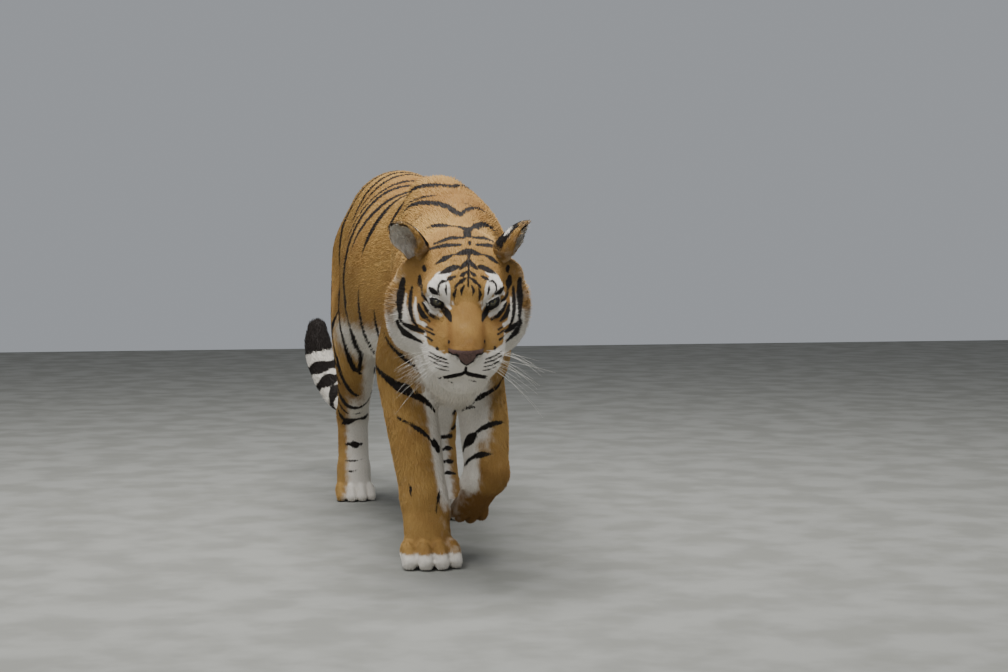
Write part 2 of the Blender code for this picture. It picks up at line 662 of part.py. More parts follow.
def main():
    for obj in list(bpy.data.objects):
        bpy.data.objects.remove(obj)
    parts = bpy.data.collections.new("tiger")
    cutters = bpy.data.collections.new("cutters")
    for collection in (parts, cutters):
        bpy.context.scene.collection.children.link(collection)
    forms = body_forms()
    body = settled_body(forms, parts)
    for side in (-1, 1):
        leaf = ear(side, cutters)
        leaf.hide_render = True
        boolean(body, leaf, "UNION")
    thinned(body)
    slit_the_body(body, cutters)
    loose_pieces(body, parts)
    part_the_face(bpy.data.objects["head"], parts, cutters)
    part_the_upper_legs(bpy.data.objects["trunk"], parts, cutters)
    eyes(bpy.data.objects["head"], parts, cutters)
    shift = stand_on_origin(parts)
    print("shift", tuple(round(v, 4) for v in shift), "parts", len(parts.objects))


if __name__ == "__main__":
    main()
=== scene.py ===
# %% [markdown]
# # A tiger in mid walk
# This lesson clothes a plain solid tiger with skin, eyes, whiskers and fur. The solids come from a CAD file that is
# loaded as a fixed frame. One skin is grown just inside them, it is marked with stripes by functions of place, and
# thousands of small solid tufts are planted on it so that they lie along the body as real fur does.

import math

import bmesh
import bpy
import numpy as np
from mathutils import Matrix, Vector


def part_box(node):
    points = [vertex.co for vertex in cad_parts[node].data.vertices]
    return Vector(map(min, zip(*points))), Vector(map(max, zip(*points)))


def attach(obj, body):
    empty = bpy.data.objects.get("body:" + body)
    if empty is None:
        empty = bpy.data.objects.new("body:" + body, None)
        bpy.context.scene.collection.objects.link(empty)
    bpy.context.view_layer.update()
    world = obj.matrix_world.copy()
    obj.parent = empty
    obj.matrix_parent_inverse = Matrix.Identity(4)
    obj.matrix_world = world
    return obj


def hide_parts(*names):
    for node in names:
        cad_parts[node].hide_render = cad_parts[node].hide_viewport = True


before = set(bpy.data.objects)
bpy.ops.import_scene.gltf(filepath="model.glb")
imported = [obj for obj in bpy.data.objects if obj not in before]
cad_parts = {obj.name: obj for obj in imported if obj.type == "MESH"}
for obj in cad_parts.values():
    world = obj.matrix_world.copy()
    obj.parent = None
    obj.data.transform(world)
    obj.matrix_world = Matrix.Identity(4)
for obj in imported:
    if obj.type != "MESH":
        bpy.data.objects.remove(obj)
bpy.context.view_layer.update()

# %% [markdown]
# ## The body's measures
# Every size below is in metres, in axes that start between the shoulders: the animal faces -Y, its left side is +X and
# the floor is z = 0. The frame has its own origin under the middle of the whole box, so the last step moves each piece
# by one shift, which is read off the place of the left eye.

# %% Driving sizes
WITHERS = 0.920  # height of the back over the forelegs
RUMP = 0.95  # height of the back over the hind legs
HIP_Y = 1.00  # the hips lie this far behind the shoulders
CHEST_BOTTOM = 0.405
TRUNK_HALF_WIDTH = 0.200  # at the middle of the ribs

FOREARM_HALF_WIDTH = 0.066
WRIST_HALF_WIDTH = 0.056
FOREPAW_HALF_WIDTH = 0.074
LIFTED_PAW_HALF_WIDTH = 0.052  # its toes are drawn together
HINDPAW_HALF_WIDTH = 0.060
HOCK_HALF_WIDTH = 0.046

HEAD_CENTRE = Vector((-0.052, -0.400, 0.638))
HEAD_PITCH = math.radians(36)  # nose down
HEAD_YAW = math.radians(-6.5)  # face turned to the animal's right
EYE_RADIUS = 0.0195
EYE_PLACE = Vector((0.0570, -0.0660, 0.0450))  # in the head's own axes, on the left side

TAIL_RADIUS = 0.036
CLEAR = 0.08  # past this distance from its box, a form has no say

# %% [markdown]
# ## Flesh as a field
# A body is soft and its parts run into each other, so it is described as a field: a number at each point of space that
# tells how far the point is from the surface, below zero inside. Each form is an elliptical tube or an ellipsoid, and a
# smooth minimum blends them. The same functions made the solids, so the skin follows them exactly.

# %% Forms and their blended distance
def smooth_min(a, b, blend):
    """The lower of two distances, rounded where they are within blend of each other."""
    near = np.maximum(blend - np.abs(a - b), 0.0)
    return np.minimum(a, b) - near * near / (4.0 * blend)


def through(stations, spacing):
    """Stations (x, y, z, half width, half height) filled in on a smooth curve, about spacing apart."""
    rows = np.array(stations, float)
    if len(rows) == 1:
        return rows
    padded = np.vstack([2 * rows[0] - rows[1], rows, 2 * rows[-1] - rows[-2]])
    filled = []
    for i in range(1, len(padded) - 2):
        before, start, end, after = padded[i - 1 : i + 3]
        count = max(1, round(np.linalg.norm(end[:3] - start[:3]) / spacing))
        for t in np.arange(count) / count:
            filled.append(
                0.5 * (2 * start + (end - before) * t + (2 * before - 5 * start + 4 * end - after) * t**2
                       + (3 * start - before - 3 * end + after) * t**3)
            )
    filled.append(rows[-1])
    filled = np.array(filled)
    filled[:, 3:] = np.maximum(filled[:, 3:], rows[:, 3:].min())
    return filled


class Form:
    """An elliptical tube through its stations, or an ellipsoid where there is one station."""

    def __init__(self, stations, blend, side=(1, 0, 0), along=(0, -1, 0), length=None, cap=1.0, hollow=False):
        rows = through(stations, spacing=max(0.010, 0.25 * min(s[4] for s in stations)))
        self.rows, self.blend, self.hollow = rows, blend, hollow
        self.segments = []
        for start, end in zip(rows[:-1], rows[1:]) if len(rows) > 1 else [(rows[0], rows[0])]:
            axis = end[:3] - start[:3] if len(rows) > 1 else np.array(along, float)
            axis = axis / np.linalg.norm(axis)
            across = np.array(side, float) - np.dot(side, axis) * axis
            across /= np.linalg.norm(across)
            up = np.cross(axis, across)
            reach = length or cap * min(start[3], start[4], end[3], end[4])
            self.segments.append((start, end, axis, across, up, reach))
        size = max(rows[:, 3:].max(), length or 0.0) + CLEAR
        self.low, self.high = rows[:, :3].min(0) - size, rows[:, :3].max(0) + size

    def distance(self, points):
        best = np.full(len(points), np.inf)
        for start, end, axis, across, up, reach in self.segments:
            run = end[:3] - start[:3]
            share = np.clip((points - start[:3]) @ run / max(run @ run, 1e-12), 0.0, 1.0)
            offset = points - start[:3] - share[:, None] * run
            half_width = start[3] + (end[3] - start[3]) * share
            half_height = start[4] + (end[4] - start[4]) * share
            w, h, n = offset @ across, offset @ up, offset @ axis / reach
            unit = np.sqrt((w / half_width) ** 2 + (h / half_height) ** 2 + n**2) + 1e-9
            slope = np.sqrt((w / half_width**2) ** 2 + (h / half_height**2) ** 2 + (n / reach) ** 2) + 1e-9
            best = np.minimum(best, unit * (unit - 1.0) / slope)
        return best


def flesh(points, forms):
    """Signed distance, in metres, from each point to the body that the forms make together."""
    field = np.full(len(points), 1.0)
    for form in forms:
        near = np.all((points > form.low) & (points < form.high), axis=1)
        distance = form.distance(points[near])
        if form.hollow:
            field[near] = -smooth_min(-field[near], distance, form.blend)
        else:
            field[near] = smooth_min(field[near], distance, form.blend)
    return field


# %% [markdown]
# ## Trunk, neck and head
# The trunk is one tube from the breast to the rump with shoulder blades and belly over it. The head has its own axes,
# nose along -Y and crown along +Z, because it hangs low and turns a little to the animal's right.

# %% Trunk and neck
def trunk_forms():
    """Ribs, loin and rump as one tube, with the shoulder blades, breast and haunches over it."""
    top_bottom = [  # y, top, bottom, half width
        (-0.10, WITHERS - 0.090, 0.500, 0.094),
        (0.02, WITHERS - 0.012, 0.440, 0.102),
        (0.16, WITHERS - 0.012, CHEST_BOTTOM + 0.008, 0.134),
        (0.34, WITHERS - 0.030, CHEST_BOTTOM, TRUNK_HALF_WIDTH - 0.020),
        (0.55, WITHERS - 0.008, CHEST_BOTTOM + 0.008, TRUNK_HALF_WIDTH),
        (0.74, WITHERS + 0.026, CHEST_BOTTOM + 0.040, TRUNK_HALF_WIDTH - 0.022),
        (HIP_Y - 0.08, RUMP + 0.016, 0.515, 0.163),
        (HIP_Y + 0.04, RUMP + 0.006, 0.580, 0.140),
        (HIP_Y + 0.13, RUMP - 0.050, 0.640, 0.104),
    ]
    stations = [(0.016 if y > 0.70 else 0.0, y, (top + low) / 2, wide, (top - low) / 2)
                for y, top, low, wide in top_bottom]  # the rump swings a little to the left
    forms = [Form(stations, blend=0.04, cap=0.5)]
    for side in (-1, 1):
        blade_top, spread = (WITHERS - 0.010, 0.022) if side < 0 else (WITHERS - 0.082, -0.008)
        forms.append(Form([(side * (0.026 + spread), 0.060, blade_top - 0.036, 0.042, 0.036),
                           (side * (0.056 + spread), -0.010, 0.735, 0.045, 0.085),
                           (side * (0.074 + spread), -0.085, 0.630, 0.048, 0.082)], blend=0.065))
        forms.append(Form([(side * 0.122, 0.730, 0.545, 0.050, 0.085)], blend=0.07, length=0.110))
    forms.append(Form([(-0.012, -0.150, 0.560, 0.088, 0.105)], blend=0.06, length=0.085))
    forms.append(Form([(-0.008, -0.060, 0.450, 0.066, 0.082)], blend=0.06, length=0.110))
    return forms


def neck_forms():
    """The neck sinks from the withers to the lowered head and bends to the animal's right."""
    head = HEAD_CENTRE
    return [
        Form([(0.000, 0.060, 0.720, 0.130, 0.165),
              (-0.010, -0.080, 0.700, 0.132, 0.165),
              (-0.030, -0.200, 0.672, 0.126, 0.152),
              (head.x + 0.012, head.y + 0.100, head.z + 0.018, 0.120, 0.132)], blend=0.05, cap=0.5),
        Form([(-0.045, -0.325, 0.540, 0.080, 0.064),
              (-0.022, -0.180, 0.485, 0.080, 0.085)], blend=0.07),
    ]


# %% Head
def head_axes():
    """Matrix from the head's own axes (nose along -Y, crown along +Z) to the body's."""
    return (Matrix.Translation(HEAD_CENTRE) @ Matrix.Rotation(HEAD_YAW, 4, "Z")
            @ Matrix.Rotation(HEAD_PITCH, 4, "X"))


def head_forms():
    """Skull, muzzle, jaw, cheeks and ruff, in the head's own axes and then turned into place."""
    axes = head_axes()
    turn = axes.to_3x3()
    side, nose_way = turn @ Vector((1, 0, 0)), turn @ Vector((0, -1, 0))

    def tube(stations, blend):
        placed = [(*(axes @ Vector(s[:3])), s[3], s[4]) for s in stations]
        return Form(placed, blend, side=tuple(side))

    def lump(x, y, z, wide, long, high, blend, hollow=False):
        place = axes @ Vector((x, y, z))
        return Form([(*place, wide, high)], blend, side=tuple(side), along=tuple(nose_way), length=long,
                    hollow=hollow)

    forms = [
        lump(0, 0.045, 0.040, 0.104, 0.112, 0.080, blend=0.05),  # braincase
        lump(0, -0.032, 0.048, 0.074, 0.058, 0.046, blend=0.04),  # forehead
        tube([(0, -0.050, 0.054, 0.042, 0.030), (0, -0.100, 0.034, 0.038, 0.028),
              (0, -0.150, 0.012, 0.038, 0.026), (0, -0.180, -0.002, 0.035, 0.023)], blend=0.014),  # bridge
        tube([(0, -0.060, -0.016, 0.072, 0.058), (0, -0.120, -0.030, 0.062, 0.050),
              (0, -0.150, -0.042, 0.054, 0.040)], blend=0.035),  # upper jaw
        lump(0, -0.134, -0.106, 0.052, 0.038, 0.036, blend=0.016),  # chin
        tube([(0, -0.130, -0.100, 0.050, 0.030), (0, -0.080, -0.104, 0.066, 0.036),
              (0, -0.010, -0.100, 0.088, 0.044), (0, 0.060, -0.075, 0.090, 0.060)], blend=0.03),  # lower jaw
    ]
    for s in (-1, 1):
        fuller = 0.008 if s < 0 else 0.0  # the ruff stands out more on the right
        forms += [
            lump(s * 0.036, -0.150, -0.052, 0.041, 0.044, 0.039, blend=0.014),  # whisker pad
            lump(s * 0.046, -0.052, 0.062, 0.034, 0.026, 0.019, blend=0.03),  # brow
            lump(s * 0.086, -0.036, 0.000, 0.034, 0.046, 0.034, blend=0.03),  # cheek bone
            lump(s * 0.106, 0.044, 0.030, 0.036, 0.042, 0.034, blend=0.03),  # root of the ear
            lump(s * 0.054, -0.100, -0.032, 0.038, 0.060, 0.046, blend=0.03),  # side of the upper jaw
            lump(s * 0.086, -0.012, -0.048, 0.053, 0.076, 0.066, blend=0.04),  # cheek
            lump(s * (0.104 + fuller), 0.030, -0.080, 0.052, 0.054, 0.092, blend=0.04),  # ruff
            lump(s * (0.106 + fuller), 0.032, -0.022, 0.045, 0.046, 0.052, blend=0.045),  # ruff under the ear
        ]
        eye = EYE_PLACE
        forms.append(lump(s * (eye.x + 0.002), eye.y - 0.016, eye.z, 0.018, 0.012, 0.012, blend=0.018,
                          hollow=True))  # hollow that the eye looks out of
    return forms


# %% [markdown]
# ## Legs, paws and tail
# Each leg is a tube through its joints. A paw is a pad, an instep and four toes. The left forefoot is lifted and folded
# back, and the tail hangs behind the hocks and curls up at its end.

# %% Joints of the legs
# Where the joints of each leg lie, as (x, y, z), from the top of the limb down.
FORELEG_RIGHT = dict(shoulder=(-0.110, -0.110, 0.620), elbow=(-0.112, 0.045, 0.455), forearm=(-0.094, 0.005, 0.330),
                     wrist=(-0.075, -0.048, 0.155), ball=(-0.073, -0.100, 0.036))
FORELEG_LEFT = dict(shoulder=(0.080, -0.115, 0.610), elbow=(0.076, 0.030, 0.440), forearm=(0.071, -0.045, 0.325),
                    wrist=(0.064, -0.112, 0.215), ball=(0.043, -0.012, 0.124))
HINDLEG_RIGHT = dict(hip=(-0.080, HIP_Y - 0.005, 0.710), thigh=(-0.102, 0.920, 0.580), knee=(-0.120, 0.845, 0.450),
                     calf=(-0.104, 0.960, 0.350), hock=(-0.090, 1.115, 0.250), ball=(-0.092, 1.075, 0.029))
HINDLEG_LEFT = dict(hip=(0.080, HIP_Y - 0.005, 0.710), thigh=(0.108, 0.870, 0.610), knee=(0.126, 0.745, 0.500),
                    calf=(0.122, 0.775, 0.370), hock=(0.122, 0.860, 0.215), ball=(0.110, 0.665, 0.029))

# %% Paws, legs and tail
def paw_forms(ball, heel, toe_way, half_width, limb):
    """A pad, the instep and four toes. ball is the middle of the paw and toe_way points from it to the toes."""
    ball, toe_way = Vector(ball), Vector(toe_way).normalized()
    size = half_width / 0.072
    across = (Vector((1, 0, 0)) - toe_way.x * toe_way).normalized()
    up = toe_way.cross(across)

    def place(x, ahead, high):
        return ball + (across * x + toe_way * ahead + up * high) * size

    forms = [
        Form([(*heel, *limb), (*place(0, 0.004, 0.004), 0.056 * size, 0.032 * size)], blend=0.02,
             side=tuple(across)),
        Form([(*place(0, -0.006, -0.020), 0.050 * size, 0.022 * size)], blend=0.012, side=tuple(across),
             along=tuple(toe_way), length=0.036 * size),
    ]
    for x, set_back in ((-0.050, 0.016), (-0.0175, 0), (0.0175, 0), (0.050, 0.016)):
        forms.append(Form([
            (*place(x * 0.86, -set_back, 0.004), 0.019 * size, 0.025 * size),
            (*place(x * 1.02, 0.034 - set_back, 0.003), 0.0195 * size, 0.025 * size),
            (*place(x * 1.04, 0.064 - set_back, -0.020), 0.018 * size, 0.020 * size),
        ], blend=0.008, side=tuple(across)))
    return forms


def foreleg_forms(joint, toe_way, side, girth, paw_width):
    """Upper arm, elbow, forearm and wrist as one tube that hardly narrows, ending in the forepaw."""
    dewclaw = Vector(joint["wrist"]).lerp(Vector(joint["ball"]), 0.25) + Vector((-side * 0.045, -0.010, 0))
    limb = [
        (*joint["shoulder"], 0.055 * girth, 0.090),
        (*Vector(joint["shoulder"]).lerp(Vector(joint["elbow"]), 0.6), 0.067 * girth, 0.098),
        (*joint["elbow"], 0.066 * girth, 0.078),
        (*joint["forearm"], FOREARM_HALF_WIDTH * girth, 0.066),
        (*joint["wrist"], WRIST_HALF_WIDTH * girth, 0.054),
    ]
    return [
        Form(limb, blend=0.045),
        Form([(*dewclaw, 0.014, 0.020)], blend=0.015, length=0.016),
        *paw_forms(joint["ball"], joint["wrist"], toe_way, paw_width, limb=(WRIST_HALF_WIDTH * girth, 0.050)),
    ]


def hindleg_forms(joint, toe_way):
    """Broad thigh, knee, calf and the long foot that stands on its toes."""
    limb = [
        (*joint["hip"], 0.076, 0.135),
        (*joint["thigh"], 0.076, 0.130),
        (*joint["knee"], 0.062, 0.088),
        (*joint["calf"], 0.052, 0.072),
        (*joint["hock"], HOCK_HALF_WIDTH, 0.046),
    ]
    foot = [
        (*joint["hock"], HOCK_HALF_WIDTH, 0.044),
        (*Vector(joint["hock"]).lerp(Vector(joint["ball"]), 0.5), HOCK_HALF_WIDTH + 0.001, 0.040),
        (*joint["ball"], HINDPAW_HALF_WIDTH * 0.75, 0.036),
    ]
    heel = Vector(joint["hock"]).lerp(Vector(joint["ball"]), 0.72)
    return [
        Form(limb, blend=0.075),
        Form(foot, blend=0.02),
        *paw_forms(joint["ball"], heel, toe_way, HINDPAW_HALF_WIDTH, limb=(HOCK_HALF_WIDTH, 0.036)),
    ]


def tail_forms():
    """The tail hangs behind the hocks and its end curls up on the animal's right."""
    r = TAIL_RADIUS
    stations = [
        (0.000, 1.080, 0.840, r * 1.70, r * 1.70),
        (0.000, 1.210, 0.760, r * 1.25, r * 1.20),
        (0.000, 1.325, 0.625, r, r),
        (-0.005, 1.405, 0.465, r, r),
        (-0.010, 1.475, 0.315, r, r),
        (-0.028, 1.560, 0.240, r * 1.05, r * 1.05),
        (-0.074, 1.630, 0.262, r * 1.15, r * 1.15),
        (-0.110, 1.665, 0.338, r * 1.25, r * 1.25),
        (-0.126, 1.680, 0.415, r * 1.28, r * 1.28),
        (-0.129, 1.685, 0.472, r * 0.95, r * 0.95),
    ]
    return [Form(stations, blend=0.08)]

# %% Gather the forms by the part of the body they belong to
GROUPS = {
    "trunk": trunk_forms(),
    "neck": neck_forms(),
    "head": head_forms(),
    "tail": tail_forms(),
    "foreleg_right": foreleg_forms(FORELEG_RIGHT, (0.02, -1, 0), -1, 1.0, FOREPAW_HALF_WIDTH),
    "foreleg_left": foreleg_forms(FORELEG_LEFT, (-0.16, 0.50, -0.80), 1, 0.93, LIFTED_PAW_HALF_WIDTH),
    "hindleg_right": hindleg_forms(HINDLEG_RIGHT, (0.02, -1, 0)),
    "hindleg_left": hindleg_forms(HINDLEG_LEFT, (-0.02, -1, 0)),
}
ALL_FORMS = [form for group in GROUPS.values() for form in group]
FORMS = [form for form in ALL_FORMS if not form.hollow]  # the lids shape the hollows of the eyes themselves

HEAD = np.array(head_axes())
TO_HEAD = np.linalg.inv(HEAD)
eye_low, eye_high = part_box("eye_left")
SHIFT = (eye_low + eye_high) / 2 - head_axes() @ EYE_PLACE  # from these axes to the frame's
print(len(FORMS), "forms; shift to the frame", [round(v, 4) for v in SHIFT])

# %% [markdown]
# ## How deep the coat is
# The solids reach to the tips of the hair, so the skin lies inside them by the depth of the coat. It is thin on the
# face and the feet, and thick on the cheeks and belly.


# %% Coat depth
def ramp(values, low, high):
    """0 up to low, 1 from high on, and smooth between."""
    t = np.clip((values - low) / (high - low), 0.0, 1.0)
    return t * t * (3.0 - 2.0 * t)


def moved(points, matrix):
    return points @ matrix[:3, :3].T + matrix[:3, 3]


def coat_depth(points):
    """Depth of the coat in metres at each point."""
    y, z = points[:, 1], points[:, 2]
    depth = 0.0052 + 0.0035 * ramp(-z, -0.52, -0.42) * ramp(y, 0.08, 0.22) * (1 - ramp(y, 0.72, 0.85))
    depth -= 0.0016 * ramp(-z, -0.40, -0.24) + 0.0014 * ramp(-z, -0.14, -0.08)
    tail = ramp(y, 1.14, 1.20)
    depth = depth * (1 - tail) + 0.0050 * tail
    local = moved(points, TO_HEAD)
    width = np.abs(local[:, 0])
    in_head = 1 - ramp(np.linalg.norm(local - (0, 0, -0.02), axis=1), 0.205, 0.245)
    cheek = ramp(width, 0.075, 0.125) * ramp(local[:, 1], -0.03, 0.03) * (1 - ramp(local[:, 2], 0.015, 0.06))
    head_depth = 0.0016 + 0.0020 * ramp(local[:, 1], -0.09, 0.05) + 0.0075 * cheek
    return depth * (1 - in_head) + head_depth * in_head


def skin_field(points):
    return flesh(points, FORMS) + coat_depth(points)


def cast_onto_skin(starts, way, rounds=26):
    """Follows one way from each start outside the body until it meets the skin."""
    travel = np.zeros(len(starts))
    for _ in range(rounds):
        travel += 0.9 * np.minimum(skin_field(starts + travel[:, None] * way), 0.05)
    return starts + travel[:, None] * way


# %% [markdown]
# ## Growing the skin
# A mesh with even faces is needed, because it will be bent into lids and lips. Small balls squashed to each form are
# fused by a voxel Remesh, and the result is pressed onto the field along its own normals. Then the face and the paws
# are cut finer, as they carry small features.


# %% Clay, and pressing it onto the field
SKIN_VOXEL = 0.0100


def corners(mesh):
    points = np.empty(len(mesh.vertices) * 3, np.float32)
    mesh.vertices.foreach_get("co", points)
    return points.reshape(-1, 3).astype(float)


def set_corners(mesh, points):
    mesh.vertices.foreach_set("co", points.astype(np.float32).ravel())
    mesh.update()


def corner_normals(mesh):
    normals = np.empty(len(mesh.vertices) * 3, np.float32)
    mesh.vertices.foreach_get("normal", normals)
    return normals.reshape(-1, 3).astype(float)


def evened(mesh, factor):
    """Each corner moves towards the middle of its neighbours."""
    points = corners(mesh)
    ends = np.empty(len(mesh.edges) * 2, np.int32)
    mesh.edges.foreach_get("vertices", ends)
    a, b = ends.reshape(-1, 2).T
    total = np.zeros_like(points)
    for axis in range(3):
        total[:, axis] = (np.bincount(a, points[b, axis], len(points)) + np.bincount(b, points[a, axis], len(points)))
    count = np.bincount(a, minlength=len(points)) + np.bincount(b, minlength=len(points))
    middle = total / np.maximum(count, 1)[:, None]
    set_corners(mesh, points + factor * (middle - points))


def press_onto_field(mesh, rounds):
    for _ in range(rounds):
        points, normals = corners(mesh), corner_normals(mesh)
        points -= normals * np.clip(skin_field(points), -0.012, 0.012)[:, None]
        set_corners(mesh, points)


def made_mesh(obj):
    """A plain mesh of what an object's modifiers make. The modifiers are dropped."""
    graph = bpy.context.evaluated_depsgraph_get()
    graph.update()
    mesh = bpy.data.meshes.new_from_object(obj.evaluated_get(graph), depsgraph=graph)
    obj.modifiers.clear()
    return mesh


def new_object(name, mesh):
    obj = bpy.data.objects.new(name, mesh)
    bpy.context.scene.collection.objects.link(obj)
    return obj


def grown_skin():
    bm = bmesh.new()
    for form in FORMS:
        for start, end, axis, across, up, reach in form.segments:
            long = max(reach, np.linalg.norm(end[:3] - start[:3]))
            squash = Matrix((across * start[3], axis * long, up * start[4])).transposed().to_4x4()
            squash.translation = Vector((start[:3] + end[:3]) / 2)
            bmesh.ops.create_icosphere(bm, subdivisions=2, radius=0.96, matrix=squash)
    mesh = bpy.data.meshes.new("clay")
    bm.to_mesh(mesh)
    bm.free()
    body = new_object("skin", mesh)
    fuse = body.modifiers.new("fuse", "REMESH")
    fuse.mode = "VOXEL"
    fuse.voxel_size = SKIN_VOXEL
    body.data = made_mesh(body)
    for rounds in (3, 3):
        evened(body.data, 0.5)
        evened(body.data, 0.5)
        press_onto_field(body.data, rounds)
    return body


skin = grown_skin()
print("skin", len(skin.data.vertices), "corners")

# %% [markdown]
# ## Finer faces where the detail is
# Subdividing only some edges keeps the rest of the mesh light. The face is halved twice and the rims of the eyes, the
# nose and the lips three times. The paws are halved once for the toes.


# %% Refine the face and the paws
SIDE = HEAD[:3, 0]  # across the head to the animal's left, level
FACING = np.cross(SIDE, (0.0, 0.0, 1.0)) * 1.0
if FACING[1] > 0:
    FACING = -FACING
BROW = moved(np.array([[0.0, EYE_PLACE.y, EYE_PLACE.z]]), HEAD)[0]  # midway between the eyes


MM = 0.001


def leaning(up):
    """How far, in mm, the middle of the face lies towards the animal's left at each height: the head is a little tilted."""
    return np.where(up > 0, 3.6 + 0.085 * up, 3.6 + 0.020 * up)


def outer_shift(across):
    """The right cheek stands out more than the left, so its outer marks are moved by 13 mm and the left's by 3 mm."""
    return np.where(across < 0, 0.013, 0.003) * ramp(np.abs(across), 0.080, 0.130)


def on_face(points):
    """Across, up and forward of the point midway between the eyes, as the face is seen from level in front."""
    offset = points - BROW
    across = offset @ SIDE - leaning(offset[:, 2] / MM) * MM
    return across + outer_shift(across), offset[:, 2], offset @ FACING


def in_head(points):
    across, up, ahead = on_face(points)
    return (np.abs(across) < 0.155) & (up > -0.20) & (up < 0.125) & (ahead > -0.085)


def in_face(points):
    across, up, ahead = on_face(points)
    return (np.abs(across) < 0.100) & (up > -0.19) & (up < 0.085) & (ahead > -0.035)


def in_detail(points):
    across, up, ahead = on_face(points)
    eye = (np.abs(np.abs(across) - EYE_PLACE.x) < 0.030) & (np.abs(up) < 0.030) & (ahead > -0.040)
    mouth = (np.abs(across) < 0.066) & (up > -0.172) & (up < -0.095) & (ahead > 0.030)
    return eye | mouth


def in_paws(points):
    lifted = np.linalg.norm(points - np.array(FORELEG_LEFT["ball"]), axis=1) < 0.095
    return (points[:, 2] < 0.075) | lifted


def halve(mesh, inside):
    """Cuts every edge between two corners that are inside."""
    flags = inside(corners(mesh))
    bm = bmesh.new()
    bm.from_mesh(mesh)
    bm.verts.ensure_lookup_table()
    chosen = [edge for edge in bm.edges if flags[edge.verts[0].index] and flags[edge.verts[1].index]]
    bmesh.ops.subdivide_edges(bm, edges=chosen, cuts=1, use_grid_fill=True)
    bm.to_mesh(mesh)
    bm.free()


for zone in (in_paws, in_head, in_face, in_detail):
    halve(skin.data, zone)
    evened(skin.data, 0.4)
    press_onto_field(skin.data, 3)
evened(skin.data, 0.35)
floor_cut = corners(skin.data)
floor_cut[:, 2] = np.maximum(floor_cut[:, 2], 0.0015)
set_corners(skin.data, floor_cut)
print("refined skin", len(skin.data.vertices), "corners", len(skin.data.polygons), "faces")

# %% [markdown]
# ## Grooves, lips and nostrils
# Small features are pressed into the fine mesh along lines that are drawn on the face. A line is a short list of
# points in millimetres across and up from the brow point midway between the eyes, and it is thrown level onto the
# skin from in front. Paired lines are drawn once and mirrored.


# %% Lines drawn on the face
DRAW_WAY = -FACING + np.array((0.0, 0.0, -0.03))
DRAW_WAY /= np.linalg.norm(DRAW_WAY)


def filled_in(points, spacing):
    """More points between the given ones, on straight runs no longer than spacing."""
    rows = [points[:1]]
    for start, end in zip(points[:-1], points[1:]):
        count = max(1, int(np.ceil(np.linalg.norm((end - start)[:3]) / spacing)))
        rows.append(start + (end - start) * (np.arange(1, count + 1) / count)[:, None])
    return np.vstack(rows)


def face_lines(drawn, sides):
    """Lines (across, up, half width) in millimetres, laid on the skin as rows of x, y, z, half width."""
    lines = []
    for points in drawn:
        for s in sides:
            rows = filled_in(np.array(points, float) * MM * (s, 1, 1), 0.005)
            rows[:, 0] += leaning(rows[:, 1] / MM) * MM - outer_shift(rows[:, 0])
            starts = BROW + rows[:, :1] * SIDE + rows[:, 1:2] * (0.0, 0.0, 1.0) + 0.22 * FACING
            lines.append((starts, rows[:, 2]))
    placed = cast_onto_skin(np.vstack([starts for starts, _ in lines]), DRAW_WAY)
    ends = np.cumsum([len(starts) for starts, _ in lines])
    return [np.column_stack([placed[end - len(w):end], w]) for (_, w), end in zip(lines, ends)]


def beyond_lines(points, lines, farthest=0.04):
    """Distance from each point to the edge of the nearest line, below zero inside the line."""
    best = np.full(len(points), farthest)
    for line in lines:
        path, widths = line[:, :3], line[:, 3]
        near = np.flatnonzero(np.all((points > path.min(0) - farthest) & (points < path.max(0) + farthest), axis=1))
        if not len(near):
            continue
        local, found = points[near], best[near]
        for i in range(max(len(path) - 1, 1)):
            run = path[min(i + 1, len(path) - 1)] - path[i]
            share = np.clip((local - path[i]) @ run / max(run @ run, 1e-12), 0.0, 1.0)
            width = widths[i] + (widths[min(i + 1, len(path) - 1)] - widths[i]) * share
            found = np.minimum(found, np.linalg.norm(local - path[i] - share[:, None] * run, axis=1) - width)
        best[near] = found
    return best


GROOVES = {  # name: (depth mm, reach mm, paired line)
    "mouth": (5.0, 2.2, [(0, -146, 3.5), (12, -150, 3.0), (28, -153, 2.0), (44, -156, 1.5), (56, -162, 0.8)]),
    "philtrum": (2.5, 1.8, [(0, -137, 0.2), (0, -153, 0.8)]),
    "nostril": (5.5, 2.0, [(31, -112, 1.5), (25, -112, 2.0), (20, -116, 1.2), (17, -121, 0.4)]),
    "nose_side": (1.2, 1.8, [(33, -108, 0.3), (28, -121, 0.3), (14, -134, 0.3), (2, -138, 0.3)]),
}

flat = corners(skin.data)  # where each corner lay before the small features; the markings are read there
sculpted = flat.copy()
normals = corner_normals(skin.data)
for name, (depth, reach, drawn) in GROOVES.items():
    beyond = beyond_lines(flat, face_lines([drawn], (-1, 1)))
    sculpted -= normals * (depth * MM * np.exp(-((np.maximum(beyond, 0) / (reach * MM)) ** 2)))[:, None]
print("grooves", ", ".join(GROOVES))

# %% [markdown]
# ## Lids
# The lids hug the ball of the eye. Each corner near an eye is moved along the line from the middle of the ball: outside
# the almond opening it comes to lie just over the ball, and inside it is sunk behind the ball's surface.

# %% Lids round each eye
LID = 0.0016  # thickness of a lid
SLIT_HALF_LENGTH = 0.0142
UPPER_LID_RISE, LOWER_LID_DROP = 0.0034, 0.0050
SLIT_SLANT = math.radians(31)


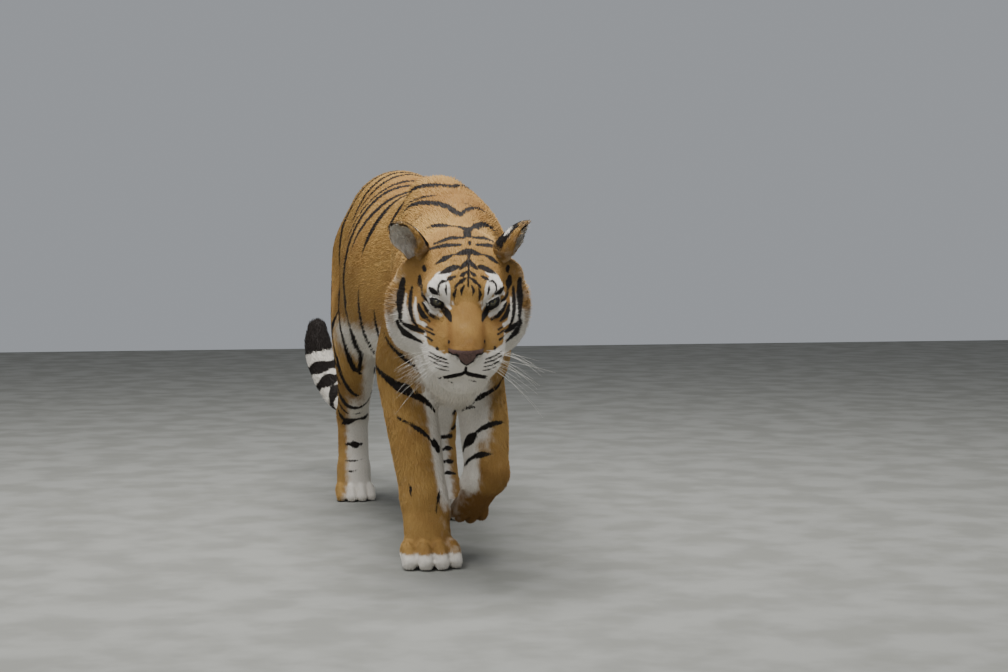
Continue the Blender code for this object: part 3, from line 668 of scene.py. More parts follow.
def eye_axes(s):
    """Centre of the ball, then the way along the slit outwards, up across it and out of the eye."""
    centre = moved(np.array([[s * EYE_PLACE.x, EYE_PLACE.y, EYE_PLACE.z]]), HEAD)[0]
    out = FACING * 0.95 + SIDE * (0.05 if s < 0 else 0.29) + np.array((0, 0, -0.12))
    out /= np.linalg.norm(out)
    slit = SIDE * s * math.cos(SLIT_SLANT) + np.array((0, 0, math.sin(SLIT_SLANT)))
    slit -= out * (slit @ out)
    slit /= np.linalg.norm(slit)
    high = np.cross(slit, out)
    high *= np.sign(high[2])
    return centre, slit, high, out


def beyond_opening(points, s):
    """Distance outside the almond opening of one eye, as seen from in front of it."""
    centre, slit, high, _ = eye_axes(s)
    x, z = (points - centre) @ slit, (points - centre) @ high
    arch = 1 - np.clip(x / SLIT_HALF_LENGTH, -1, 1) ** 2
    return np.maximum(np.maximum(z - UPPER_LID_RISE * arch, -LOWER_LID_DROP * arch - z),
                      np.abs(x) - SLIT_HALF_LENGTH)


for s in (-1, 1):
    centre, slit, high, out = eye_axes(s)
    offset = sculpted - centre
    distance = np.linalg.norm(offset, axis=1)
    close = np.flatnonzero((distance < 0.045) & (offset @ out > 0.0))
    beyond = beyond_opening(sculpted[close], s)
    hug = EYE_RADIUS + LID + 0.0010 * np.exp(-(((beyond - 0.0022) / 0.0016) ** 2)) - 0.0008 * np.exp(
        -(((beyond - 0.0065) / 0.0016) ** 2))
    keep = ramp(beyond, 0.004, 0.016)
    target = hug + keep * np.maximum(distance[close] - hug, 0.0)
    sunk = ramp(-beyond, -0.0004, 0.0008)
    target = target * (1 - sunk) + (EYE_RADIUS - 0.004) * sunk
    sculpted[close] = centre + offset[close] * (target / distance[close])[:, None]
set_corners(skin.data, sculpted)
print("lids round two eyes")

# %% [markdown]
# ## Ears
# An ear is a cupped leaf. Its outer and inner face are two grids of one thin wall, joined round the rim, with the foot
# sunk in the head under the fur.

# %% Ears
EAR_HEIGHT = 0.098
EAR_SKIN_WALL = 0.004
EAR_STEPS = 28


def ear_axes(s):
    outward = math.radians(40 if s < 0 else 64) * s
    return np.array(head_axes() @ Matrix.Translation((s * 0.104, 0.046, 0.070))
                    @ Matrix.Rotation(math.radians(20) * s, 4, "Y") @ Matrix.Rotation(math.radians(-8), 4, "X")
                    @ Matrix.Rotation(outward, 4, "Z"))


def ear_sheet(s):
    """Grid of points on the middle of the wall, with how high and how far round each one is."""
    rise = -0.3 + 1.295 * np.sin(np.linspace(0, math.pi / 2, EAR_STEPS))
    v, i = np.meshgrid(rise, np.linspace(-1, 1, EAR_STEPS), indexing="ij")
    foot = 0.62 + 0.38 * ramp(v, -0.14, 0.16)
    half_width = (0.002 + 0.045 * np.maximum(1 - np.maximum(v, 0) ** 2.4, 0) ** 0.55 * (0.76 + 0.34 * v)) * foot
    arc = np.radians(112 - 60 * v)
    radius = half_width / np.sin(np.minimum(arc, math.pi / 2))
    turn = arc * i
    back = radius * (np.cos(turn) - np.cos(arc) * 0.5) - 0.010 * v
    high = EAR_HEIGHT * v + 0.030 * i**2 * (1 - v)
    points = np.stack([radius * np.sin(turn), back, high], axis=-1).reshape(-1, 3)
    return moved(points, ear_axes(s)).reshape(v.shape + (3,)), v, i


def ear_wall(s):
    sheet, v, i = ear_sheet(s)
    up, round_ = np.gradient(sheet, axis=0), np.gradient(sheet, axis=1)
    normal = np.cross(up, round_)
    normal /= np.linalg.norm(normal, axis=-1, keepdims=True)
    axis_point = moved(np.array([[0.0, 0.0, 0.03]]), ear_axes(s))[0]
    if (normal[EAR_STEPS // 2, EAR_STEPS // 2] @ (sheet[EAR_STEPS // 2, EAR_STEPS // 2] - axis_point)) < 0:
        normal = -normal
    outer = (sheet + normal * EAR_SKIN_WALL / 2).reshape(-1, 3)
    inner = (sheet - normal * EAR_SKIN_WALL / 2).reshape(-1, 3)
    n, faces = EAR_STEPS, []
    for a in range(n - 1):
        for b in range(n - 1):
            q = (a * n + b, a * n + b + 1, (a + 1) * n + b + 1, (a + 1) * n + b)
            faces += [q, tuple(k + n * n for k in reversed(q))]
    rim = [b for b in range(n)] + [a * n + n - 1 for a in range(1, n)] + [(n - 1) * n + b for b in range(n - 2, -1, -1)]
    rim += [a * n for a in range(n - 2, 0, -1)]
    for a, b in zip(rim, rim[1:] + rim[:1]):
        faces.append((b, a, a + n * n, b + n * n))
    return np.vstack([outer, inner]), faces, np.tile(v.ravel(), 2), np.tile(i.ravel(), 2), np.repeat([0.0, 1.0], n * n)


bm = bmesh.new()
bm.from_mesh(skin.data)
ear_rows = [np.zeros((len(flat), 4))]  # for each corner: is ear, height up it, how far round, inner face
for s in (-1, 1):
    points, faces, high, around, inner = ear_wall(s)
    made = [bm.verts.new(p) for p in points]
    new_faces = [bm.faces.new([made[k] for k in face]) for face in faces]
    bmesh.ops.recalc_face_normals(bm, faces=new_faces)
    flat = np.vstack([flat, points])
    ear_rows.append(np.column_stack([np.full(len(points), float(s)), high, around, inner]))
ear_rows = np.vstack(ear_rows)
bmesh.ops.triangulate(bm, faces=bm.faces)
bm.to_mesh(skin.data)
bm.free()
skin.data.update()
print("skin with ears", len(skin.data.vertices), "corners", len(skin.data.polygons), "triangles")

# %% [markdown]
# ## An unwrap of the skin
# Each tuft is given a tiny patch on a map, at the place of its root, so the skin is unwrapped now, on its own shape.

# %% Unwrap the skin
bpy.context.view_layer.objects.active = skin
skin.select_set(True)
bpy.ops.object.mode_set(mode="EDIT")
bpy.ops.mesh.select_all(action="SELECT")
bpy.ops.uv.smart_project(angle_limit=math.radians(75), island_margin=0.002)
bpy.ops.object.mode_set(mode="OBJECT")
skin.data.uv_layers.active.name = "Unwrap"
loop_uv = np.empty(len(skin.data.loops) * 2, np.float32)
skin.data.uv_layers["Unwrap"].data.foreach_get("uv", loop_uv)
loop_uv = loop_uv.reshape(-1, 2)
print("unwrapped", len(loop_uv), "corners of faces")

# %% [markdown]
# ## Which part of the body each place belongs to
# The lie of the hair and many marks follow the part they are on. Each place is given a share in every part, which
# falls off with its distance from that part's own flesh, so that the lie turns smoothly from one part to the next.

# %% Shares and lines of the limbs
PARTS = list(GROUPS)
PATHS = {
    "tail": [(0, 1.08, 0.84), (0, 1.21, 0.76), (0, 1.325, 0.625), (-0.005, 1.405, 0.465), (-0.010, 1.475, 0.315),
             (-0.028, 1.560, 0.240), (-0.074, 1.630, 0.262), (-0.110, 1.665, 0.338), (-0.126, 1.680, 0.415),
             (-0.130, 1.687, 0.520)],
    "foreleg_right": list(FORELEG_RIGHT.values()),
    "foreleg_left": list(FORELEG_LEFT.values()),
    "hindleg_right": list(HINDLEG_RIGHT.values()),
    "hindleg_left": list(HINDLEG_LEFT.values()),
}


def shares(points):
    near = np.stack([flesh(points, [f for f in GROUPS[part] if not f.hollow]) for part in PARTS], axis=1)
    weight = np.exp(-(near - near.min(1, keepdims=True)) / 0.022)
    return weight / weight.sum(1, keepdims=True)


def along(points, path):
    """For each point: the nearest place on a path, the way the path runs there, and how far along it is, 0 to 1."""
    path = np.array(path, float)
    length = np.concatenate([[0], np.cumsum(np.linalg.norm(np.diff(path, axis=0), axis=1))])
    best = np.full(len(points), np.inf)
    place, way, far = np.zeros_like(points), np.zeros_like(points), np.zeros(len(points))
    for i in range(len(path) - 1):
        run = path[i + 1] - path[i]
        share = np.clip((points - path[i]) @ run / (run @ run), 0, 1)
        foot = path[i] + share[:, None] * run
        gap = np.linalg.norm(points - foot, axis=1)
        closer = gap < best
        best[closer] = gap[closer]
        place[closer] = foot[closer]
        way[closer] = run / np.linalg.norm(run)
        far[closer] = ((length[i] + share * (length[i + 1] - length[i])) / length[-1])[closer]
    return place, way, far


def wander(points, size, seed):
    """A smooth number from about -1 to 1 that changes over the given size."""
    rng = np.random.default_rng(seed)
    total = np.zeros(len(points))
    for _ in range(7):
        way = rng.normal(size=3)
        way *= rng.uniform(0.6, 1.5) * 2 * math.pi / size / np.linalg.norm(way)
        total += np.sin(points @ way + rng.uniform(0, 2 * math.pi))
    return total / 2.6


# %% [markdown]
# ## The lie of the coat
# Hair starts at the nose and flows back over the head, along the back and flanks, and down each leg to the toes.


# %% Lie of the hair
def lie_of_hair(points, normals, share):
    y, z = points[:, 1], points[:, 2]
    zero, one = np.zeros(len(points)), np.ones(len(points))
    ways = {}
    sides = ramp(np.abs(normals[:, 0]), 0.2, 0.8)
    ways["trunk"] = np.stack([zero, one, -0.32 * sides - 0.5 * ramp(-y, 0.0, 0.12) * ramp(-normals[:, 1], 0.2, 0.7)], 1)
    front = ramp(-normals[:, 1], 0.1, 0.7) + ramp(-normals[:, 2], 0.2, 0.8)
    ways["neck"] = np.stack([zero, 0.9 * one - 0.5 * np.minimum(front, 1), 0.25 - 1.1 * np.minimum(front, 1)], 1)
    local = moved(points, TO_HEAD)
    nose = np.array((0.0, -0.185, -0.012))
    away = local - nose
    cheek = ramp(np.abs(local[:, 0]), 0.07, 0.13) * ramp(-local[:, 2], -0.05, 0.03)
    away /= np.linalg.norm(away, axis=1, keepdims=True)
    away += cheek[:, None] * np.stack([0.25 * np.sign(local[:, 0]), 0.1 * one, -0.65 * one], 1)
    ways["head"] = away @ HEAD[:3, :3].T
    for part, path in PATHS.items():
        ways[part] = along(points, path)[1]
        if part.startswith("hindleg"):
            ways[part] = ways[part] + np.array((0, 0.35, -0.1)) * ramp(z, 0.40, 0.62)[:, None]
    lie = sum(share[:, k : k + 1] * ways[part] for k, part in enumerate(PARTS))
    lie += 0.10 * np.stack([wander(points, 0.16, 5), wander(points, 0.16, 6), wander(points, 0.16, 7)], 1)
    lie -= normals * (lie * normals).sum(1, keepdims=True)
    return lie / np.maximum(np.linalg.norm(lie, axis=1, keepdims=True), 1e-6)


# %% [markdown]
# ## Markings
# Stripes are lines laid on the skin with a half width at each point, and the colour at a place depends on how far it
# is beyond the nearest line. On the face they are drawn in pairs. On the body they are rings round the part's
# own line, from one angle to another, thin at both ends. White is a share from 0 to 1 that grows towards the belly,
# the insides of the legs, the cheeks and the chin.

# %% Dark lines of the face, in millimetres across and up from the brow point
LIPS = [(0, -146, 5), (12, -150, 6), (28, -153, 5), (44, -156, 4.5), (56, -162, 3)]
FACE_DARK_PAIRS = [
    [(3, 113, 9), (14, 109, 8), (31, 105, 2)],  # arrowhead on the crown
    [(33, 106, 2), (51, 97, 8.5), (70, 85, 2)],  # upper brow blots
    [(22, 79, 4.5), (32, 77, 8.5), (43, 72, 9), (53, 68, 6), (63, 63, 1.5)],  # great brow blots
    [(2, 94, 2), (9, 83, 6.5), (18, 74, 3)],  # feathering beside the middle line
    [(15, 93, 0.8), (32, 92, 1.8)],
    [(2, 70, 1.8), (12, 62, 5), (17, 59, 2)],
    [(4, 56, 1.5), (14, 48, 5), (21, 42, 2)],
    [(28, 59, 2.4), (38, 54, 5.5), (46, 50, 2)],
    [(8, 39, 2), (13, 28, 3.2), (12, 17, 1)],
    [(17, 48, 1.2), (25, 38, 3.4), (28, 33, 1.4)],
    [(24, 33, 1.4), (28, 20, 4), (26, 6, 1.2)],
    [(46, 47, 2), (54, 48, 4.4), (61, 41, 3), (63, 30, 2), (58, 19, 1)],  # hook over the eye
    [(81, 34, 3), (74, 28, 6.5), (63, 22, 3)],
    [(46, 40, 1.2), (46, 30, 3), (44, 19, 1.2)],
    [(92, 80, 5), (89, 72, 5)],  # spots outside the brow
    [(97, 58, 5), (95, 46, 9), (91, 34, 4.4), (91, 20, 4), (84, 9, 3.6), (74, 4, 2.4)],
    [(90, 2, 2.4), (82, -14, 4), (70, -27, 4), (54, -35, 2.4)],  # under the white crescent
    [(97, 0, 2.4), (94, -14, 5.2), (88, -26, 6), (76, -38, 2.4)],
    [(107, 36, 3), (109, 12, 6), (109, -12, 6), (105, -36, 4), (98, -48, 3)],  # cheek bars
    [(123, 50, 8), (125, 22, 12), (125, 0, 12), (123, -34, 8)],
    [(119, -42, 4), (108, -50, 7.4), (96, -56, 5.6), (85, -61, 2.2)],
    [(128, -42, 8), (120, -58, 12), (109, -68, 9), (98, -77, 5), (88, -84, 2)],
    [(84, -48, 1.4), (70, -56, 2.4)],
    [(86, -56, 1.4), (68, -66, 2.6)],
    [(86, -68, 1.4), (72, -78, 2.8)],
    [(62, -94, 3.6), (61, -96, 3.6)],  # spots on the muzzle
    [(38, -79, 3.4), (38, -81, 3.4)],
    [(78, -102, 1.6), (60, -112, 3), (42, -118, 1.6)],  # whisker rows
    [(79, -110, 1.6), (60, -120, 2.8), (38, -126, 1.4)],
    [(75, -121, 1.6), (56, -130, 2.5), (38, -134, 1.4)],
    [(66, -134, 1.2), (50, -140, 1.8), (36, -142, 1)],
    [(18, 127, 4.5), (50, 126, 8), (86, 118, 4)],  # arcs over the crown
    [(12, 143, 6), (42, 142, 9), (72, 130, 5)],
    [(0, -134, 3), (0, -145, 4)],  # below the nose
    [(0, -150, 5), (12, -153, 5.5), (26, -156, 5), (44, -159, 3.5)],  # lower lip
    LIPS,
]
FACE_DARK_SINGLE = [
    [(0, 114, 4), (0, 80, 2.8), (1, 36, 2)],  # middle line of the forehead
    [(-2, 156, 10), (-2, 147, 9)],
    [(2, 134, 4), (2, 128, 4)],
    [(-21, -183, 1.6), (-17, -184, 1.4)],  # flecks on the chin
    [(2, -196, 1), (12, -199, 1.8), (18, -197, 1)],
    [(-34, -166, 1), (-24, -170, 1.8)],
    [(10, -164, 1.2), (26, -168, 1.8)],
]
FACE_PALE_PAIRS = [
    [(44, 66, 7), (60, 58, 13), (74, 42, 12), (80, 26, 8)],  # white over the eye
    [(54, 48, 11), (48, 30, 11), (43, 14, 6.5), (38, 0, 3.5), (34, -10, 2)],
    [(62, 34, 12), (66, 24, 10)],
    [(86, 3, 3.5), (77, -8, 6), (64, -17, 6), (51, -26, 4.5)],  # crescent under the eye
    [(116, 22, 1), (117, -6, 3), (115, -30, 5), (110, -44, 3)],  # between the cheek bars
    [(101, 14, 1), (102, -10, 3), (97, -38, 4), (84, -46, 4)],
    [(112, -62, 5), (98, -68, 6), (86, -74, 4)],
    [(86, -60, 3), (84, -84, 5), (78, -104, 8), (62, -124, 12), (42, -136, 9), (22, -143, 6)],  # side of the muzzle
]
face_dark = face_lines(FACE_DARK_PAIRS, (-1, 1)) + face_lines(FACE_DARK_SINGLE, (1,))
face_pale = face_lines(FACE_PALE_PAIRS, (-1, 1))
print(len(face_dark), "dark and", len(face_pale), "pale lines on the face")

# %% [markdown]
# ## Stripes of the body
# Each stripe is a ring thrown outwards from the line of its part: from_turn and to_turn are degrees from the top of the
# trunk or the front of a leg, and it leans forward or back as it goes round.


# %% Rings thrown outwards onto the skin
def ring(place, along_way, zero, side, from_turn, to_turn, half_width, lean=0.0, wave=0.0, blunt=0.5, seed=0):
    """Starts and ways of one stripe round a line. Turns grow towards side."""
    rng = np.random.default_rng(seed)
    along_way = np.array(along_way, float) / np.linalg.norm(along_way)
    zero = np.array(zero, float) - along_way * np.dot(zero, along_way)
    zero /= np.linalg.norm(zero)
    aside = np.cross(along_way, zero)
    aside *= np.sign(aside @ np.array(side, float)) or 1.0
    s = np.linspace(0, 1, max(5, int(abs(to_turn - from_turn) / 7)))
    turn = np.radians(from_turn + (to_turn - from_turn) * s)
    shift = lean * s + wave * np.sin(s * 5.0 + rng.uniform(0, 6)) * s
    starts = np.array(place, float) + along_way * shift[:, None]
    ways = np.cos(turn)[:, None] * zero + np.sin(turn)[:, None] * aside
    wobble = 1 + 0.28 * np.sin(s * rng.uniform(7, 12) + rng.uniform(0, 6))
    widths = half_width * np.sin(math.pi * (0.04 + 0.92 * s)) ** blunt * wobble
    return starts, ways, widths


def thrown_out(rings, rounds=22):
    """Rings as rows of x, y, z, half width where each way leaves the skin."""
    starts, ways = np.vstack([r[0] for r in rings]), np.vstack([r[1] for r in rings])
    travel = np.zeros(len(starts))
    for _ in range(rounds):
        travel += 0.9 * np.clip(-skin_field(starts + travel[:, None] * ways), -0.03, 0.06)
    placed = starts + travel[:, None] * ways
    ends = np.cumsum([len(r[0]) for r in rings])
    return [np.column_stack([placed[end - len(w):end], w]) for (_, _, w), end in zip(rings, ends)]


TRUNK_LINE = 0.672  # height of the line that the stripes of the trunk are thrown out from
RUMP_FROM, RUMP_RISE = 0.70, 0.20  # the line rises behind this y, by this much a metre


def trunk_line(y):
    return np.column_stack([np.zeros_like(y), y, TRUNK_LINE + RUMP_RISE * np.maximum(0, y - RUMP_FROM)])


FLANK = [  # lines of y in metres, turn in degrees, half width in millimetres
    [(0.37, 3, 5), (0.35, 22, 9), (0.335, 36, 13), (0.34, 58, 10), (0.345, 74, 3)],
    [(0.20, 3, 9), (0.215, 30, 9), (0.22, 46, 3)],
    [(0.40, 2, 11), (0.42, 35, 11), (0.445, 60, 7), (0.45, 72, 2)],
    [(0.52, 2, 12), (0.53, 18, 12), (0.50, 50, 10), (0.49, 77, 12), (0.495, 108, 14), (0.56, 127, 13),
     (0.66, 144, 12), (0.78, 158, 5)],
    [(0.60, 3, 10), (0.58, 25, 9), (0.545, 52, 7), (0.54, 68, 2)],
    [(0.72, 3, 12), (0.70, 30, 11), (0.63, 60, 9), (0.60, 84, 7), (0.61, 102, 2)],
    [(0.80, 2, 11), (0.79, 22, 9), (0.75, 48, 7), (0.72, 68, 3)],
    [(0.88, 2, 12), (0.90, 30, 11), (0.90, 58, 10), (0.87, 84, 7), (0.84, 100, 3)],
    [(0.97, 2, 12), (0.99, 35, 12), (0.99, 66, 11), (0.97, 94, 5)],
    [(1.06, 4, 12), (1.08, 40, 13), (1.07, 80, 11), (1.04, 104, 5)],
    [(0.84, 102, 4), (0.80, 114, 9), (0.74, 126, 10), (0.74, 139, 10), (0.77, 151, 9), (0.79, 160, 4)],
    [(0.90, 128, 4), (0.84, 138, 8), (0.82, 148, 10), (0.84, 157, 10), (0.88, 166, 6)],
    [(1.03, 100, 5), (0.96, 118, 13), (0.91, 132, 13), (0.88, 142, 5)],
    [(0.34, 100, 4), (0.37, 125, 11), (0.42, 150, 14), (0.45, 172, 7)],
    [(0.25, 120, 4), (0.27, 145, 12), (0.30, 170, 7)],
    [(0.62, 150, 5), (0.64, 165, 12), (0.64, 178, 7)],
]
CREST_BOLDER = 0.6  # the back's stripes are this much wider over the crest than on the side


def flank_rings():
    """The same lines on both sides. On the left each one is moved a little, because no tiger is even."""
    rings = []
    for side in (-1, 1):
        for k, drawn in enumerate(FLANK):
            shift = 0.0 if side < 0 else 0.018 * math.sin(3.1 * k)
            rows = filled_in(np.array(drawn, float) * (1, MM, MM), 0.012)
            degrees = rows[:, 1] / MM
            turn = np.radians(degrees)
            width = rows[:, 2] * (1 + CREST_BOLDER * (1 - ramp(degrees, 30, 90)))
            ways = np.column_stack([side * np.sin(turn), np.zeros_like(turn), np.cos(turn)])
            rings.append((trunk_line(rows[:, 0] + shift), ways, width))
    return rings


ARCS = [  # crest y, turn there, end y, turn there, half width in millimetres, bow; turns to the animal's right are below 0
    (-0.04, 0, 0.08, -33, 10, 0.0),  # over the withers
    (-0.03, 0, 0.10, 34, 8, 0.0),
    (-0.06, -14, 0.04, -35, 5, 0.0),
    (-0.14, 0, -0.16, 16, 4, 0.0),
    (0.02, 5, 0.05, 55, 5, 0.0),
    (-0.22, -8, 0.02, -40, 10, 1.0),  # over the neck
    (-0.22, -8, -0.14, 32, 7, 2.0),
    (-0.37, -15, -0.22, -43, 11, 1.0),
    (-0.37, -15, -0.20, 44, 10, 1.8),
    (-0.12, -30, -0.03, -78, 4, 0.0),  # side of the neck
    (-0.11, -158, -0.02, -122, 8, -2.0),  # bar between chest and shoulder
]


def arc_rings():
    """Each arm of an arc runs from its crest to its end. A bow makes it leave the crest lengthwise."""
    rings = []
    s = np.linspace(0, 1, 24)
    for crest_y, crest_turn, end_y, end_turn, half_width, bow in ARCS:
        y = crest_y + (end_y - crest_y) * ((1 - bow) * s + bow * np.sin(math.pi / 2 * s))
        turn = np.radians(crest_turn + (end_turn - crest_turn) * s)
        ways = np.column_stack([np.sin(turn), np.zeros_like(turn), np.cos(turn)])
        rings.append((trunk_line(y), ways, half_width * MM * np.sin(math.pi * (0.35 + 0.6 * s))))
    return rings


def limb_ring(joints, start, end, share, side, from_turn, to_turn, width, lean=0.0, seed=0):
    a, b = np.array(joints[start]), np.array(joints[end])
    return ring(a + (b - a) * share, b - a, (0, -1, 0), (side, 0, 0), from_turn, to_turn, width, lean, 0.004, seed=seed)


FORE_BOLDER, HIND_BOLDER = 1.4, 2.2


def leg_rings():
    rings = []
    rows = [  # joints, share of the way, from and to turn, half width, lean
        ("elbow", "forearm", 0.30, 100, 190, 0.0055, 0.01), ("forearm", "wrist", 0.10, 100, 190, 0.0050, 0.01),
        ("thigh", "knee", 0.65, 30, 140, 0.0060, 0.02), ("knee", "calf", 0.10, 60, 170, 0.0070, 0.02),
        ("knee", "calf", 0.55, 50, 180, 0.0070, 0.01), ("calf", "hock", 0.05, 40, 190, 0.0065, 0.01),
        ("calf", "hock", 0.45, 30, 190, 0.0060, 0.0), ("calf", "hock", 0.80, 30, 150, 0.0045, 0.0),
    ]
    for side, fore, hind in ((-1, FORELEG_RIGHT, HINDLEG_RIGHT), (1, FORELEG_LEFT, HINDLEG_LEFT)):
        for k, (start, end, share, a, b, width, lean) in enumerate(rows):
            joints, bolder = (hind, HIND_BOLDER) if start in hind else (fore, FORE_BOLDER)
            rings.append(limb_ring(joints, start, end, share, side, a, b, bolder * width, lean, seed=k))
    return rings


def tail_rings():
    """Rings close up towards the tip, and the end is black."""
    rings = []
    path = filled_in(np.array(PATHS["tail"], float), 0.01)
    far = np.concatenate([[0], np.cumsum(np.linalg.norm(np.diff(path, axis=0), axis=1))])
    for k, place in enumerate((0.12, 0.19, 0.26, 0.33, 0.40, 0.47, 0.54, 0.61, 0.68, 0.745, 0.80, 0.848)):
        i = int(np.argmin(np.abs(far - place * far[-1])))
        way = path[min(i + 2, len(path) - 1)] - path[i - 2]
        for side in (-1, 1):
            rings.append(ring(path[i], way, (0.02, 0.3, 1), (side, 0, 0), -5, 180, 0.009 + 0.009 * place, 0.0, 0.002, 0.10,
                              seed=200 + k))
    return rings


LEG_BARS = [  # side, joints, start, end, share of the way, from and to turn, half width in millimetres, lean
    (-1, FORELEG_RIGHT, "elbow", "forearm", -0.35, 120, -55, 12, 0.17),  # the bold bar from elbow to chest
    (-1, FORELEG_RIGHT, "forearm", "wrist", -0.05, 45, -35, 5, 0.07),
    (-1, FORELEG_RIGHT, "forearm", "wrist", 0.35, -35, -55, 11, 0.015),
    (-1, FORELEG_RIGHT, "forearm", "wrist", 0.85, 40, 40, 4, 0.03),
    (-1, FORELEG_RIGHT, "wrist", "ball", -0.10, -35, -25, 4, 0.06),
    (1, FORELEG_LEFT, "elbow", "forearm", -0.10, 60, 15, 8, 0.09),
    (1, FORELEG_LEFT, "elbow", "forearm", 0.40, 35, -30, 6, 0.06),
    (1, FORELEG_LEFT, "elbow", "forearm", 0.90, -25, -70, 4, -0.01),
    (1, FORELEG_LEFT, "forearm", "wrist", 0.10, 45, -90, 6, 0.055),
    (1, FORELEG_LEFT, "forearm", "wrist", 0.40, -35, -95, 13, 0.02),
    (1, FORELEG_LEFT, "forearm", "wrist", 0.80, 5, -90, 7, 0.005),
    (-1, HINDLEG_RIGHT, "calf", "hock", 0.15, 105, -65, 11, 0.0),
    (-1, HINDLEG_RIGHT, "calf", "hock", 0.40, 15, -15, 4, 0.0),
    (-1, HINDLEG_RIGHT, "calf", "hock", 0.80, 75, 30, 8, -0.015),
    (-1, HINDLEG_RIGHT, "hock", "ball", 0.15, 55, -50, 11, -0.022),
    (-1, HINDLEG_RIGHT, "hock", "ball", 0.42, 40, -35, 8, 0.0),
    (-1, HINDLEG_RIGHT, "hock", "ball", 0.63, 50, -40, 3, 0.0),
    (-1, HINDLEG_RIGHT, "hock", "ball", 0.77, 35, -10, 3, 0.0),
] + [(1, HINDLEG_LEFT, "hock", "ball", 0.20 + 0.16 * k, -15, 50, 7, -0.014) for k in range(4)]


def leg_bars():
    """Bars across the fronts of the legs, which differ from leg to leg."""
    return [limb_ring(joints, start, end, share, side, a, b, half_width * MM, lean, seed=300 + k)
            for k, (side, joints, start, end, share, a, b, half_width, lean) in enumerate(LEG_BARS)]


body_dark = thrown_out(flank_rings() + leg_rings() + tail_rings() + arc_rings() + leg_bars())
print(len(body_dark), "stripes on the body")


# %% [markdown]
# ## Reading the markings at a place
# One function gives the three numbers that the colours are made of: how far a place is beyond the dark lines, how
# white it is, and its tone. The skin and every tuft call it, so they always agree.


# %% Dark, pale and tone
def beyond_nose(points):
    """Distance outside the bare leather of the nose, which is a rounded wedge on the end of the muzzle."""
    across, up, ahead = on_face(points)
    u, w = np.abs(across) / MM, up / MM
    edge = np.maximum.reduce([w + 102.5 - 0.0035 * (u - 4) ** 2, (u - 39) * 0.62 + (-(w + 103)) * 0.78, -(w + 134)])
    # The nostrils are left out of the leather; marks paints the skin in them black, as painted shade in the openings
    nostril = 0 - np.hypot((u - 25) / 7.5, (w + 113.5) / 4.4) * 5 + 5
    return np.where(ahead > 0.06, np.maximum(edge, nostril) * MM, 0.05)


